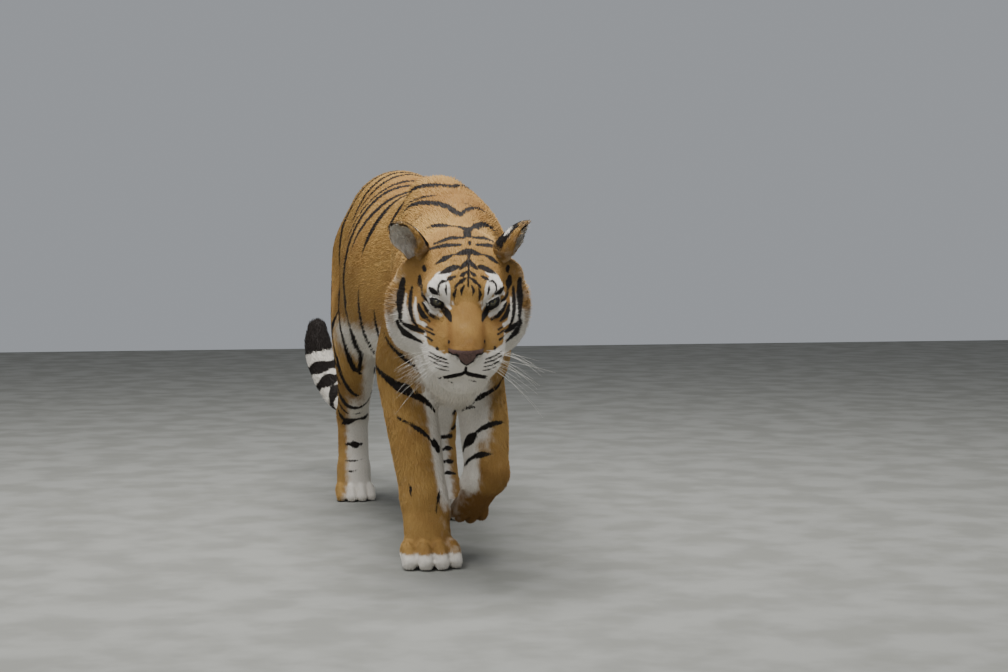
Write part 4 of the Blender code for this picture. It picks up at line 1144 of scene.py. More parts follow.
def marks(points, normals, ears, share):
    x, y, z = points.T
    across, up, ahead = on_face(points)
    u, w = np.abs(across) / MM, up / MM
    part = {name: share[:, k] for k, name in enumerate(PARTS)}
    dark = np.minimum(beyond_lines(points, face_dark), beyond_lines(points, body_dark))

    # The black rim round the leather is the tiger's own; in the nostrils the same black is painted shade in the
    # openings
    beyond_leather = beyond_nose(points)
    rim = np.where((w < -104) & (u < 46), 0.0034, 0.0)
    wing = np.where(ahead > 0.06, np.maximum((u - 39) * 0.62 - (w + 103) * 0.78, w + 104.5) * MM, 0.05)
    dark = np.minimum(dark, wing - 0.0012)
    dark = np.where(beyond_leather < 0.02, np.minimum(dark, np.abs(beyond_leather) - rim), dark)

    # White of the face: drawn patches, the lips and chin, and the cheeks behind the eyes.
    patch = ramp(-beyond_lines(points, face_pale) / MM, -3.0, 1.5)
    lips = np.maximum(ramp(-w, 128, 140), ramp(0.6 * (u - 35) - 118 - w, -4, 5) * ramp(u, 30, 44))
    lips = np.maximum(lips, ramp(wing / MM, 0.5, 2.5) * ramp(-w, 107, 112) * ramp(-u, -46, -42))
    cheeks = 0.85 * ramp(u, 92, 112) * ramp(-w, 0, 36) * (1 - 0.55 * ramp(u, 132, 142) * ramp(w, -60, -20))
    cheeks = np.maximum(cheeks, 0.22 * ramp(u, 100, 125) * ramp(-w, -100, -50))
    throat = ramp(-normals[:, 2], 0.15, 0.6)
    on_head = np.maximum.reduce([patch, lips, cheeks, throat])
    on_neck = np.maximum(ramp(-z, -0.575, -0.515) * ramp(-y, 0.02, 0.10), ramp(-normals[:, 2], 0.2, 0.7))
    on_trunk = np.maximum(ramp(-z, -0.575, -0.50), ramp(-normals[:, 2], 0.25, 0.7))
    on_trunk = np.maximum(on_trunk, ramp(-y, 0.10, 0.16) * ramp(-z, -0.58, -0.52) * (1 - ramp(np.abs(x + 0.01), 0.07, 0.11)))
    pale = part["head"] * on_head + part["neck"] * on_neck + part["trunk"] * on_trunk
    for side, fore, hind in ((-1, "foreleg_right", "hindleg_right"), (1, "foreleg_left", "hindleg_left")):
        place, _, far = along(points, PATHS[fore])
        inward = -side * (x - place[:, 0]) / 0.06
        toes = ramp(-z, -0.042, -0.030) * ramp(far, 0.80, 0.90) if side < 0 else 0
        inside = ramp(inward, 0.25, 0.65) * ramp(far, 0.12, 0.3) * (1 - 0.8 * ramp(far, 0.80, 0.90))
        if side > 0:
            inside = np.maximum(inside, ramp(inward, -0.35, 0.25) * ramp(far, 0.25, 0.4) * (1 - ramp(far, 0.62, 0.78)))
        pale += part[fore] * np.maximum(inside, toes)
        place, _, far = along(points, PATHS[hind])
        inward = -side * (x - place[:, 0]) / 0.06
        front = -(y - place[:, 1]) / 0.06
        lower = ramp(far, 0.42, 0.60)
        pale += part[hind] * np.maximum(ramp(inward, 0.0, 0.6), lower * ramp(inward + 0.7 * front, -0.35, 0.35))
    _, _, far = along(points, PATHS["tail"])
    under = ramp(-normals[:, 2], -0.1, 0.5)
    pale += part["tail"] * np.maximum(under * ramp(far, 0.02, 0.15), ramp(far, 0.42, 0.58))
    tip = (ramp(far, 0.880, 0.900) * part["tail"]) > 0.5
    dark = np.where(tip, np.minimum(dark, -0.01), dark)

    # White close round the lids, which are black. Their rims run into a dark tear line.
    for s in (-1, 1):
        beyond = beyond_opening(points, s)
        centre, slit, _, out = eye_axes(s)
        near_eye = (np.linalg.norm(points - centre, axis=1) < 0.040) & ((points - centre) @ out > -0.005)
        pale = np.where(near_eye, np.maximum(pale, 1 - ramp(beyond / MM, 5.5, 8.5)), pale)
        inner = ramp(-(points - centre) @ slit, 0.002, 0.014)
        dark = np.where(near_eye, np.minimum(dark, beyond - 0.0028 - 0.0034 * inner), dark)
    dark = np.minimum(dark, beyond_lines(points, face_tears))

    # Backs of the ears are black with a white spot. Their insides are pale, and less white low in the middle of the cup
    # as painted shade.
    is_ear, high, around, inner_face = np.abs(ears[:, 0]), ears[:, 1], ears[:, 2], ears[:, 3]
    turned = around * np.sign(ears[:, 0])
    spot = np.hypot((high - 0.62) * 98, (turned + 0.30) * 44) - 10
    edge = np.maximum.reduce([-(high - 0.16) * 40, -spot, (-turned - 0.66) * 40 * (high < 0.86)])
    rim = np.where(high > 0.80, (0.93 - np.abs(around)) * 30, 3.0)
    ear_dark = np.where(inner_face > 0.5, rim, edge) * MM
    foot = (is_ear > 0.5) & (high <= 0.14) & (inner_face < 0.5)
    dark, pale = np.where(foot, 0.01, dark), np.where(foot, 0.25, pale)
    front_edge = ramp(-turned, 0.30, 0.55)
    # Painted shade deep in the cup of the ear, near its foot
    hollow = 0.55 * (1 - ramp(high, 0.15, 0.60)) * (1 - ramp(np.abs(turned), 0.2, 0.6))
    ear_pale = np.where(inner_face > 0.5, 0.85 - 0.70 * front_edge - hollow, np.where(spot < 1.0, 1.0, 0.15))
    on_ear = (is_ear > 0.5) & ((high > 0.14) | (inner_face > 0.5))
    dark = np.where(on_ear, ear_dark, dark)
    pale = np.where(on_ear, ear_pale, pale)

    # Tone: 0 golden, 1 deep brown orange, as on the bridge of the nose and along the spine. The sloped sides of the
    # bridge and the lifted left forepaw are made deep as painted shade.
    bridge = (1 - ramp(u, 30, 44)) * ramp(-w, -15, 10) * part["head"]
    under_eye = np.exp(-(((u - 68) / 16) ** 2) - (((w + 42) / 18) ** 2)) * part["head"]
    # Painted shade down the sloped sides of the bridge of the nose
    slope = np.exp(-(((u - 37) / 6) ** 2)) * ramp(-w, 22, 40) * (1 - ramp(-w, 92, 104)) * part["head"]
    spine = ramp(normals[:, 2], 0.5, 0.95) * (part["trunk"] + part["neck"]) * 0.5
    # Painted shade: the lifted left forepaw, whose underside lies in shadow, is made deep brown
    paw = part["foreleg_left"] * ramp(along(points, PATHS["foreleg_left"])[2], 0.70, 0.90)
    uneven = 0.25 * wander(points, 0.30, 11) + 0.14 * wander(points, 0.05, 12)
    tone = 0.9 * paw + 0.25 + uneven + 0.45 * bridge + 0.5 * under_eye + 0.6 * slope + spine * 0.5
    return dark, np.clip(pale, 0, 1), np.clip(tone, 0, 1)


lip_lines = face_lines([LIPS], (-1, 1))
face_tears = face_lines([[(53, -4, 6), (46, -11, 9), (41, -19, 9), (36, -28, 6.5), (33, -37, 2.5)]], (-1, 1))

# %% [markdown]
# ## A material for skin and coat alike
# Skin and hair share one set of shader nodes. They read the numbers that each place carries: distance beyond the dark
# marks, share of white, tone, and for hair how far along the tuft it is. Hair is painted darker towards its root, as
# painted shade where little light comes, and each tuft has its own shade, a random brightness.

# %% Colours
GOLD = (0.375, 0.223, 0.066, 1)
DEEP = (0.250, 0.126, 0.033, 1)
WHITE = (0.760, 0.715, 0.640, 1)
BLACK = (0.016, 0.012, 0.010, 1)


def add_node(tree, kind, settings=None, **values):
    """A shader node with its settings, and values or links for its inputs by name (spaces as _)."""
    made = tree.nodes.new(kind)
    for name, value in (settings or {}).items():
        setattr(made, name, value)
    for name, value in values.items():
        key = int(name[1:]) if name[0] == "i" and name[1:].isdigit() else name.replace("_", " ")
        if isinstance(value, bpy.types.NodeSocket):
            tree.links.new(value, made.inputs[key])
        else:
            made.inputs[key].default_value = value
    return made


def reading(tree, attribute, output="Fac"):
    return add_node(tree, "ShaderNodeAttribute", {"attribute_name": attribute}).outputs[output]


def mixed(tree, share, first, second, kind="MIX"):
    made = tree.nodes.new("ShaderNodeMix")
    made.data_type = "RGBA"
    made.blend_type = kind
    for socket, value in ((made.inputs[0], share), (made.inputs[6], first), (made.inputs[7], second)):
        if isinstance(value, bpy.types.NodeSocket):
            tree.links.new(value, socket)
        else:
            socket.default_value = value
    return made.outputs[2]


def ranged(tree, value, low, high, to_low=0.0, to_high=1.0, smooth=True):
    made = add_node(tree, "ShaderNodeMapRange", {"interpolation_type": "SMOOTHSTEP" if smooth else "LINEAR"})
    tree.links.new(value, made.inputs["Value"])
    for name, number in (("From Min", low), ("From Max", high), ("To Min", to_low), ("To Max", to_high)):
        made.inputs[name].default_value = number
    return made.outputs["Result"]


def plus(tree, first, second, operation="ADD"):
    made = add_node(tree, "ShaderNodeMath", {"operation": operation})
    for socket, value in ((made.inputs[0], first), (made.inputs[1], second)):
        if isinstance(value, bpy.types.NodeSocket):
            tree.links.new(value, socket)
        else:
            socket.default_value = value
    return made.outputs[0]


def new_material(name, roughness, specular):
    material = bpy.data.materials.new(name)
    material.use_nodes = True
    shader = material.node_tree.nodes["Principled BSDF"]
    shader.inputs["Roughness"].default_value = roughness
    shader.inputs["Specular IOR Level"].default_value = specular
    return material, material.node_tree, shader


def coat_material(name, bump):
    material, tree, shader = new_material(name, 0.72, 0.22)
    root = reading(tree, "root", "Vector")
    fine = add_node(tree, "ShaderNodeTexNoise", Vector=root, Scale=420.0, Detail=2.0).outputs["Fac"]
    broad = add_node(tree, "ShaderNodeTexNoise", Vector=root, Scale=60.0, Detail=3.0).outputs["Fac"]
    orange = mixed(tree, reading(tree, "tone"), GOLD, DEEP)
    pale = plus(tree, reading(tree, "pale"), ranged(tree, broad, 0.3, 0.7, -0.16, 0.16))
    coloured = mixed(tree, ranged(tree, pale, 0.08, 0.92), orange, WHITE)
    edge = plus(tree, reading(tree, "dark"), ranged(tree, fine, 0.3, 0.7, -0.0010, 0.0010, False))
    striped = mixed(tree, ranged(tree, edge, 0.0009, -0.0009), coloured, BLACK)
    # Painted shade: the colour grows darker towards the root of each tuft, times the tuft's own random brightness
    along_tuft = add_node(tree, "ShaderNodeSeparateXYZ", Vector=reading(tree, "tuft", "Vector")).outputs["Y"]
    light = plus(tree, ranged(tree, along_tuft, 0.0, 0.8, 0.84, 1.04, False),
                 ranged(tree, reading(tree, "shade"), 0.0, 1.0, 0.88, 1.10, False), "MULTIPLY")
    grey = add_node(tree, "ShaderNodeCombineXYZ", X=light, Y=light, Z=light).outputs[0]
    tree.links.new(mixed(tree, 1.0, striped, grey, "MULTIPLY"), shader.inputs["Base Color"])
    if bump:
        hairs = add_node(tree, "ShaderNodeTexNoise", Vector=root, Scale=700.0, Detail=3.0).outputs["Fac"]
        rough = add_node(tree, "ShaderNodeBump", Strength=0.5, Distance=0.0012, Height=hairs)
        tree.links.new(rough.outputs[0], shader.inputs["Normal"])
    return material


skin_finish = coat_material("skin under the coat", True)
coat_finish = coat_material("striped hair", False)
print("materials for skin and hair")

# %% [markdown]
# ## Paint the skin
# Each corner of the skin is given its marks. The nose leather is cut from the same mesh, so its edge meets the skin
# exactly, and it becomes a piece of its own with a bare, damp finish.


# %% Marks on the skin
def set_attribute(mesh, name, values, kind="FLOAT"):
    made = mesh.attributes.new(name, kind, "POINT")
    field = {"FLOAT": "value", "FLOAT_VECTOR": "vector"}[kind]
    made.data.foreach_set(field, np.ascontiguousarray(values, np.float32).ravel())


skin_corners = corners(skin.data)
skin_normals = corner_normals(skin.data)
skin_share = shares(flat)
dark, pale, tone = marks(flat, skin_normals, ear_rows, skin_share)
# The skin reads as 0.42 along a tuft with a shade of 0.45, so it is a little darker than the hair: painted shade under
# the coat
for name, values in (("dark", dark), ("pale", pale), ("tone", tone), ("shade", np.full(len(flat), 0.45))):
    set_attribute(skin.data, name, values)
set_attribute(skin.data, "root", flat, "FLOAT_VECTOR")
set_attribute(skin.data, "tuft", np.tile((0.0, 0.42, 0.0), (len(flat), 1)), "FLOAT_VECTOR")
skin.data.materials.append(skin_finish)
print("white over", round(float((pale > 0.5).mean()), 2), "and black over", round(float((dark < 0).mean()), 2))

# %% Cut out the leather of the nose
triangles = np.empty(len(skin.data.polygons) * 3, np.int32)
skin.data.polygons.foreach_get("vertices", triangles)
triangles = triangles.reshape(-1, 3)
leather = beyond_nose(flat)[triangles].mean(1) < 0.0
sheet = bmesh.new()
sheet.from_mesh(skin.data)
sheet.faces.ensure_lookup_table()
bmesh.ops.delete(sheet, geom=[sheet.faces[i] for i in np.flatnonzero(~leather)], context="FACES")
nose_mesh = bpy.data.meshes.new("nose_leather")
sheet.to_mesh(nose_mesh)
sheet.free()
nose_leather = new_object("nose_leather", nose_mesh)
print("nose leather", len(nose_mesh.polygons), "triangles")

# %% [markdown]
# ## Where the hair grows
# A tuft grows at a random place on the skin. Its length, width and lift follow the part it is on: short and flat on the
# muzzle, round the eyes and on the toes, long on the ruff, the throat and the belly. There are more tufts where they
# are small, so that they always overlap.


# %% Size of a tuft at each place
def hair_size(points, normals, ears, share):
    """Rows of width, length, lift and layers."""
    across, up, _ = on_face(points)
    u, w = np.abs(across) / MM, up / MM
    size = np.zeros((len(points), 4))
    part = {name: share[:, k : k + 1] for k, name in enumerate(PARTS)}

    def blended(base, weight, row):
        weight = np.clip(np.asarray(weight), 0, 1)[:, None]
        return base * (1 - weight) + np.array(row) * weight

    head = np.tile((0.0016, 0.0085, 0.0022, 2.6), (len(points), 1))
    head = blended(head, ramp(w, 60, 120), (0.0019, 0.0110, 0.0028, 2.6))
    head = blended(head, ramp(u, 92, 128) * ramp(-w, -70, 0), (0.0022, 0.0140, 0.0045, 3.0))
    head = blended(head, ramp(u, 130, 142) * ramp(-w, -70, 0), (0.0024, 0.0200, 0.0085, 3.2))
    head = blended(head, ramp(-w, 40, 70) * (1 - ramp(u, 70, 86)), (0.0013, 0.0060, 0.0013, 2.6))
    head = blended(head, (1 - ramp(u, 30, 42)) * ramp(-w, -30, 10), (0.0012, 0.0055, 0.0009, 2.6))
    head = blended(head, ramp(-w, 158, 176) * (1 - ramp(u, 60, 90)), (0.0019, 0.0120, 0.0036, 2.6))
    for s in (-1, 1):
        centre = eye_axes(s)[0]
        close = 1 - ramp(np.linalg.norm(points - centre, axis=1), 0.026, 0.040)
        head = blended(head, close, (0.0010, 0.0045, 0.0008, 2.4))
    trunk = np.tile((0.0030, 0.0175, 0.0030, 2.8), (len(points), 1))
    trunk = blended(trunk, ramp(-normals[:, 2], 0.1, 0.7), (0.0036, 0.0270, 0.0085, 2.9))
    neck = np.tile((0.0032, 0.0200, 0.0040, 2.8), (len(points), 1))
    tail = np.tile((0.0029, 0.0170, 0.0046, 2.8), (len(points), 1))
    size = part["head"] * head + part["trunk"] * trunk + part["neck"] * neck + part["tail"] * tail
    for name, path in PATHS.items():
        if name == "tail":
            continue
        far = along(points, path)[2]
        leg = np.tile((0.0030, 0.0165, 0.0030, 2.7), (len(points), 1))
        leg = blended(leg, ramp(far, 0.30, 0.62), (0.0025, 0.0120, 0.0030, 2.6))
        leg = blended(leg, ramp(far, 0.72, 0.92), (0.0019, 0.0080, 0.0019, 2.4))
        size += part[name] * leg
    on_ear, inner = np.abs(ears[:, 0]) > 0.5, ears[:, 3] > 0.5
    size[on_ear] = (0.0017, 0.0080, 0.0017, 3.2)
    size[on_ear & inner] = (0.0015, 0.0110, 0.0040, 2.6)
    size[on_ear & inner & (ears[:, 1] > 0.75)] = (0.0013, 0.0060, 0.0014, 3.0)
    return size


def bare(points, normals, ears):
    """True where no hair grows: leather, the edges of the lids, soles and the sunk foot of each ear."""
    none = beyond_nose(points) < 0.0004
    for s in (-1, 1):
        centre, _, _, out = eye_axes(s)
        near_eye = (np.linalg.norm(points - centre, axis=1) < 0.035) & ((points - centre) @ out > 0.0)
        none |= near_eye & (beyond_opening(points, s) < 0.0026)
    none |= beyond_lines(points, lip_lines) < -0.0016
    none |= (points[:, 2] < 0.010) & (normals[:, 2] < -0.6)
    none |= (np.abs(ears[:, 0]) > 0.5) & (ears[:, 1] < -0.20)
    return none


# %% Scatter the roots
TUFTS = 335000
rng = np.random.default_rng(2211)
tri_points, tri_flat = skin_corners[triangles], flat[triangles]
tri_normals = np.cross(tri_points[:, 1] - tri_points[:, 0], tri_points[:, 2] - tri_points[:, 0])
areas = np.linalg.norm(tri_normals, axis=1) / 2
middle = tri_flat.mean(1)
middle_ears = ear_rows[triangles].mean(1)
middle_share = skin_share[triangles].mean(1)
tri_way = tri_normals / np.maximum(2 * areas, 1e-12)[:, None]
sizes = hair_size(middle, tri_way, middle_ears, middle_share)
wanted = areas * sizes[:, 3] / (0.5 * sizes[:, 0] * sizes[:, 1])
wanted[bare(middle, tri_way, middle_ears)] = 0
print("covers wanted", int(wanted.sum()), "tufts over", round(float(areas.sum()), 2), "square metres")
counts = np.floor(wanted * TUFTS / wanted.sum() + rng.random(len(wanted))).astype(int)
chosen = np.repeat(np.arange(len(counts)), counts)
weights = rng.dirichlet((1, 1, 1), len(chosen))


def at_roots(values):
    return (values[triangles[chosen]] * weights.reshape(weights.shape + (1,) * (values.ndim - 1))).sum(1)


root, root_flat, root_normal = at_roots(skin_corners), at_roots(flat), at_roots(skin_normals)
root_normal /= np.linalg.norm(root_normal, axis=1, keepdims=True)
root_ears, root_share = ear_rows[triangles[chosen, 0]], at_roots(skin_share)
root_uv = (loop_uv.reshape(-1, 3, 2)[chosen] * weights[:, :, None]).sum(1)
keep = ~bare(root_flat, root_normal, root_ears)
root, root_flat, root_normal, root_ears, root_share, root_uv = (
    values[keep] for values in (root, root_flat, root_normal, root_ears, root_share, root_uv))
print(len(root), "tufts")

# %% Marks, lie and size of each tuft
root_lie = lie_of_hair(root_flat, root_normal, root_share)
in_ear = np.abs(root_ears[:, 0]) > 0.5
for s in (-1, 1):
    axes = ear_axes(s)
    this = in_ear & (root_ears[:, 0] * s > 0)
    root_lie[this] = axes[:3, 2] + 0.3 * rng.normal(size=(int(this.sum()), 3))
root_lie -= root_normal * (root_lie * root_normal).sum(1, keepdims=True)
root_lie += 0.08 * rng.normal(size=root.shape)
root_lie /= np.linalg.norm(root_lie, axis=1, keepdims=True)
root_size = hair_size(root_flat, root_normal, root_ears, root_share)[:, :3]
root_size = root_size * rng.uniform(0.72, 1.18, (len(root), 1)) * rng.uniform(0.85, 1.15, (len(root), 3))
root_shade = np.clip(0.5 + 0.16 * rng.normal(size=len(root)), 0, 1)
reach = np.where(root_share[:, PARTS.index("head")] > 0.5, 0.0004, 0.0012)[:, None]
start = root_flat + rng.normal(size=root.shape) * reach
MARKS_READ_AT = (0.15, 0.55, 0.80)  # shares of a tuft's length: its foot, ridge and tip
hair_run = root_lie * root_size[:, 1:2]
root_marks = [marks(start + hair_run * far, root_normal, root_ears, root_share) for far in MARKS_READ_AT]
print("mean tuft", (root_size.mean(0) / MM).round(1), "mm wide, long and high")

# %% [markdown]
# ## One tuft, and a tree that plants it
# A tuft is a thin closed blade with a ridge, which bends over to lie along its own Y axis, one unit long. It has only
# four faces, because there are hundreds of thousands of tufts. A Geometry Nodes tree turns it so that it rises from the
# skin and lies the way the hair does, scales it, and makes the result real mesh.

# %% The tuft
TUFT_POINTS = [(-0.5, 0.0, -0.15), (0.5, 0.0, -0.15), (0.0, 0.42, 0.50), (0.0, 1.0, 0.90)]
TUFT_FACES = [(0, 1, 2), (1, 3, 2), (0, 2, 3), (0, 3, 1)]
tuft_mesh = bpy.data.meshes.new("tuft")
tuft_mesh.from_pydata(TUFT_POINTS, [], TUFT_FACES)
set_attribute(tuft_mesh, "tuft", np.array(TUFT_POINTS), "FLOAT_VECTOR")
tuft = new_object("tuft", tuft_mesh)
print("a tuft of", sum(len(face) - 2 for face in TUFT_FACES), "triangles")


# %% The planting tree
def link_all(tree, pairs):
    for source, target in pairs:
        tree.links.new(source, target)


def named(tree, name, kind="FLOAT_VECTOR"):
    made = tree.nodes.new("GeometryNodeInputNamedAttribute")
    made.data_type = kind
    made.inputs["Name"].default_value = name
    return made.outputs[0]


def planting_tree(finish):
    tree = bpy.data.node_groups.new("plant tufts", "GeometryNodeTree")
    tree.interface.new_socket("Geometry", in_out="INPUT", socket_type="NodeSocketGeometry")
    tree.interface.new_socket("Tuft", in_out="INPUT", socket_type="NodeSocketObject")
    for name in ("Width", "Length", "Lift"):
        tree.interface.new_socket(name, in_out="INPUT", socket_type="NodeSocketFloat").default_value = 1.0
    tree.interface.new_socket("Geometry", in_out="OUTPUT", socket_type="NodeSocketGeometry")
    start, end = tree.nodes.new("NodeGroupInput"), tree.nodes.new("NodeGroupOutput")
    shape = tree.nodes.new("GeometryNodeObjectInfo")
    turn = tree.nodes.new("FunctionNodeAxesToRotation")
    turn.primary_axis, turn.secondary_axis = "Z", "Y"
    whole = tree.nodes.new("ShaderNodeCombineXYZ")
    scale = tree.nodes.new("ShaderNodeVectorMath")
    scale.operation = "MULTIPLY"
    plant = tree.nodes.new("GeometryNodeInstanceOnPoints")
    real = tree.nodes.new("GeometryNodeRealizeInstances")
    colour = tree.nodes.new("GeometryNodeSetMaterial")
    colour.inputs["Material"].default_value = finish
    link_all(tree, [
        (start.outputs["Tuft"], shape.inputs["Object"]), (named(tree, "normal"), turn.inputs["Primary Axis"]),
        (named(tree, "lie"), turn.inputs["Secondary Axis"]), (start.outputs["Width"], whole.inputs["X"]),
        (start.outputs["Length"], whole.inputs["Y"]), (start.outputs["Lift"], whole.inputs["Z"]),
        (named(tree, "size"), scale.inputs[0]), (whole.outputs[0], scale.inputs[1]),
        (start.outputs["Geometry"], plant.inputs["Points"]), (shape.outputs["Geometry"], plant.inputs["Instance"]),
        (turn.outputs[0], plant.inputs["Rotation"]), (scale.outputs[0], plant.inputs["Scale"]),
        (plant.outputs[0], real.inputs[0]), (real.outputs[0], colour.inputs["Geometry"]),
        (colour.outputs[0], end.inputs[0]),
    ])
    return tree


def run_tree(obj, tree, values):
    """The plain mesh that a tree makes from an object. Inputs are set by the identifier of their socket."""
    modifier = obj.modifiers.new(tree.name, "NODES")
    modifier.node_group = tree
    for item in tree.interface.items_tree:
        if item.item_type == "SOCKET" and item.in_out == "INPUT" and item.name in values:
            modifier[item.identifier] = values[item.name]
    evaluated = obj.evaluated_get(bpy.context.evaluated_depsgraph_get())
    mesh = bpy.data.meshes.new_from_object(evaluated)
    obj.modifiers.remove(modifier)
    return mesh


PATCH = 0.003  # side of a tuft's patch on the unwrap


def planted(name, rows, tree):
    """One piece of coat from the chosen tufts."""
    seeds = bpy.data.meshes.new(name)
    seeds.from_pydata(root[rows].tolist(), [], [])
    for attribute, values in (("normal", root_normal), ("lie", root_lie), ("size", root_size), ("root", root_flat)):
        set_attribute(seeds, attribute, values[rows], "FLOAT_VECTOR")
    patch = np.column_stack([root_uv[rows], np.zeros(len(rows))])
    set_attribute(seeds, "patch", patch, "FLOAT_VECTOR")
    set_attribute(seeds, "shade", root_shade[rows])
    bed = new_object(name + "_bed", seeds)
    mesh = run_tree(bed, tree, {"Tuft": tuft, "Width": 1.0, "Length": 1.0, "Lift": 1.0})
    bpy.data.objects.remove(bed)
    piece = new_object(name, mesh)
    count = len(mesh.vertices)
    spots = np.empty(count * 3, np.float32)
    mesh.vertices.foreach_get("co", spots)
    spots[2::3] = np.maximum(spots[2::3], 0.0004 + 0.0003 * (np.arange(count) % 4))  # nothing under the floor
    mesh.vertices.foreach_set("co", spots)
    place, local = np.empty(count * 3, np.float32), np.empty(count * 3, np.float32)
    mesh.attributes["patch"].data.foreach_get("vector", place)
    mesh.attributes["tuft"].data.foreach_get("vector", local)
    for k, attribute in enumerate(("dark", "pale", "tone")):
        foot, ridge, tip = (place_marks[k][rows] for place_marks in root_marks)
        set_attribute(mesh, attribute, np.column_stack([foot, foot, ridge, tip]))
    uv = place.reshape(-1, 3)[:, :2] + (local.reshape(-1, 3)[:, :2] - (0.0, 0.5)) * PATCH
    loops = np.empty(len(mesh.loops), np.int32)
    mesh.loops.foreach_get("vertex_index", loops)
    layer = mesh.uv_layers.new(name="OFBake")
    layer.data.foreach_set("uv", np.clip(uv, 0.001, 0.999)[loops].astype(np.float32).ravel())
    for attribute in ("normal", "lie", "size", "patch"):
        if attribute in mesh.attributes:
            mesh.attributes.remove(mesh.attributes[attribute])
    return piece


# %% Plant every part of the coat
tree = planting_tree(coat_finish)
owner = root_share.argmax(1)
LARGEST = 49000
coat = []
for k, part_name in enumerate(PARTS):
    rows = np.flatnonzero(owner == k)
    rows = rows[np.argsort(root[rows, 1])]
    count = int(np.ceil(len(rows) / LARGEST))
    for i, chunk in enumerate(np.array_split(rows, count)):
        coat.append(planted(f"coat_{part_name}" + (f"_{i + 1}" if count > 1 else ""), chunk, tree))
bpy.data.objects.remove(tuft)
print(", ".join(f"{piece.name} {len(piece.data.polygons)}" for piece in coat))

# %% [markdown]
# ## Eyes
# Each eye is a wet ball with a clear bulge over the iris. The mesh is made in rings round the way it looks, and each
# corner knows its angle from that way, so the pupil, the iris and its dark edge are painted by angle.


# %% Eyeballs
def looking(s):
    out = eye_axes(s)[3]
    way = 0.72 * out + 0.28 * np.array((-0.18, -0.97, 0.02)) + np.array((0, 0, -0.05))
    return way / np.linalg.norm(way)


def eyeball(s, rings=48, round_steps=64):
    centre, way = eye_axes(s)[0], looking(s)
    aside = np.cross(way, (0, 0, 1.0))
    aside /= np.linalg.norm(aside)
    high = np.cross(aside, way)
    off = np.linspace(0, 1, rings + 1)[1:-1] ** 1.4 * math.pi
    turn = np.linspace(0, 2 * math.pi, round_steps, endpoint=False)
    bulge = 0.0011 * np.exp(-((off / 0.42) ** 4))
    ring = (EYE_RADIUS - 0.0004 + bulge)[:, None, None]
    points = ring * (np.cos(off)[:, None, None] * way + np.sin(off)[:, None, None] * (
        np.cos(turn)[None, :, None] * aside + np.sin(turn)[None, :, None] * high))
    front, back = way * (EYE_RADIUS + 0.0007), -way * (EYE_RADIUS - 0.0004)
    verts = np.vstack([centre + front, centre + points.reshape(-1, 3), centre + back])
    faces = [(0, 1 + j, 1 + (j + 1) % round_steps) for j in range(round_steps)]
    for i in range(len(off) - 1):
        for j in range(round_steps):
            a, b = 1 + i * round_steps + j, 1 + i * round_steps + (j + 1) % round_steps
            faces.append((a, a + round_steps, b + round_steps, b))
    last = 1 + (len(off) - 1) * round_steps
    faces += [(last + (j + 1) % round_steps, last + j, len(verts) - 1) for j in range(round_steps)]
    mesh = bpy.data.meshes.new("ball")
    mesh.from_pydata(verts.tolist(), [], faces)
    mesh.polygons.foreach_set("use_smooth", [True] * len(mesh.polygons))
    set_attribute(mesh, "off axis", np.concatenate([[0], np.repeat(off, round_steps), [math.pi]]))
    spokes = np.concatenate([[0], np.tile(np.sin(turn * 1.0), len(off)), [0]])
    set_attribute(mesh, "turn", spokes)
    return new_object("eyeball_" + ("right" if s < 0 else "left"), mesh)


def eye_material():
    material, tree, shader = new_material("wet eye", 0.06, 0.5)
    shader.inputs["Coat Weight"].default_value = 1.0
    shader.inputs["Coat Roughness"].default_value = 0.03
    off = reading(tree, "off axis")
    grain = add_node(tree, "ShaderNodeTexNoise", Scale=900.0, Detail=3.0,
                     Vector=add_node(tree, "ShaderNodeTexCoord").outputs["Object"]).outputs["Fac"]
    iris = mixed(tree, ranged(tree, grain, 0.3, 0.7), (0.075, 0.066, 0.026, 1), (0.15, 0.13, 0.055, 1))
    iris = mixed(tree, ranged(tree, off, 0.16, 0.46), iris, (0.070, 0.068, 0.030, 1))
    with_pupil = mixed(tree, ranged(tree, off, 0.150, 0.185), (0.004, 0.004, 0.004, 1), iris)
    ring = mixed(tree, ranged(tree, off, 0.50, 0.60), with_pupil, (0.012, 0.010, 0.008, 1))
    white = mixed(tree, ranged(tree, off, 0.64, 0.76), ring, (0.05, 0.03, 0.025, 1))
    tree.links.new(white, shader.inputs["Base Color"])
    return material


eye_finish = eye_material()
eyeballs = [eyeball(s) for s in (-1, 1)]
for ball in eyeballs:
    ball.data.materials.append(eye_finish)
print("eyeballs", [len(ball.data.polygons) for ball in eyeballs], "faces")

# %% [markdown]
# ## Lid edges and whiskers
# The bare black edge of the lids and every whisker is a thin rod along a line. A second tree turns lines into rods:
# each line's points carry their own thickness.


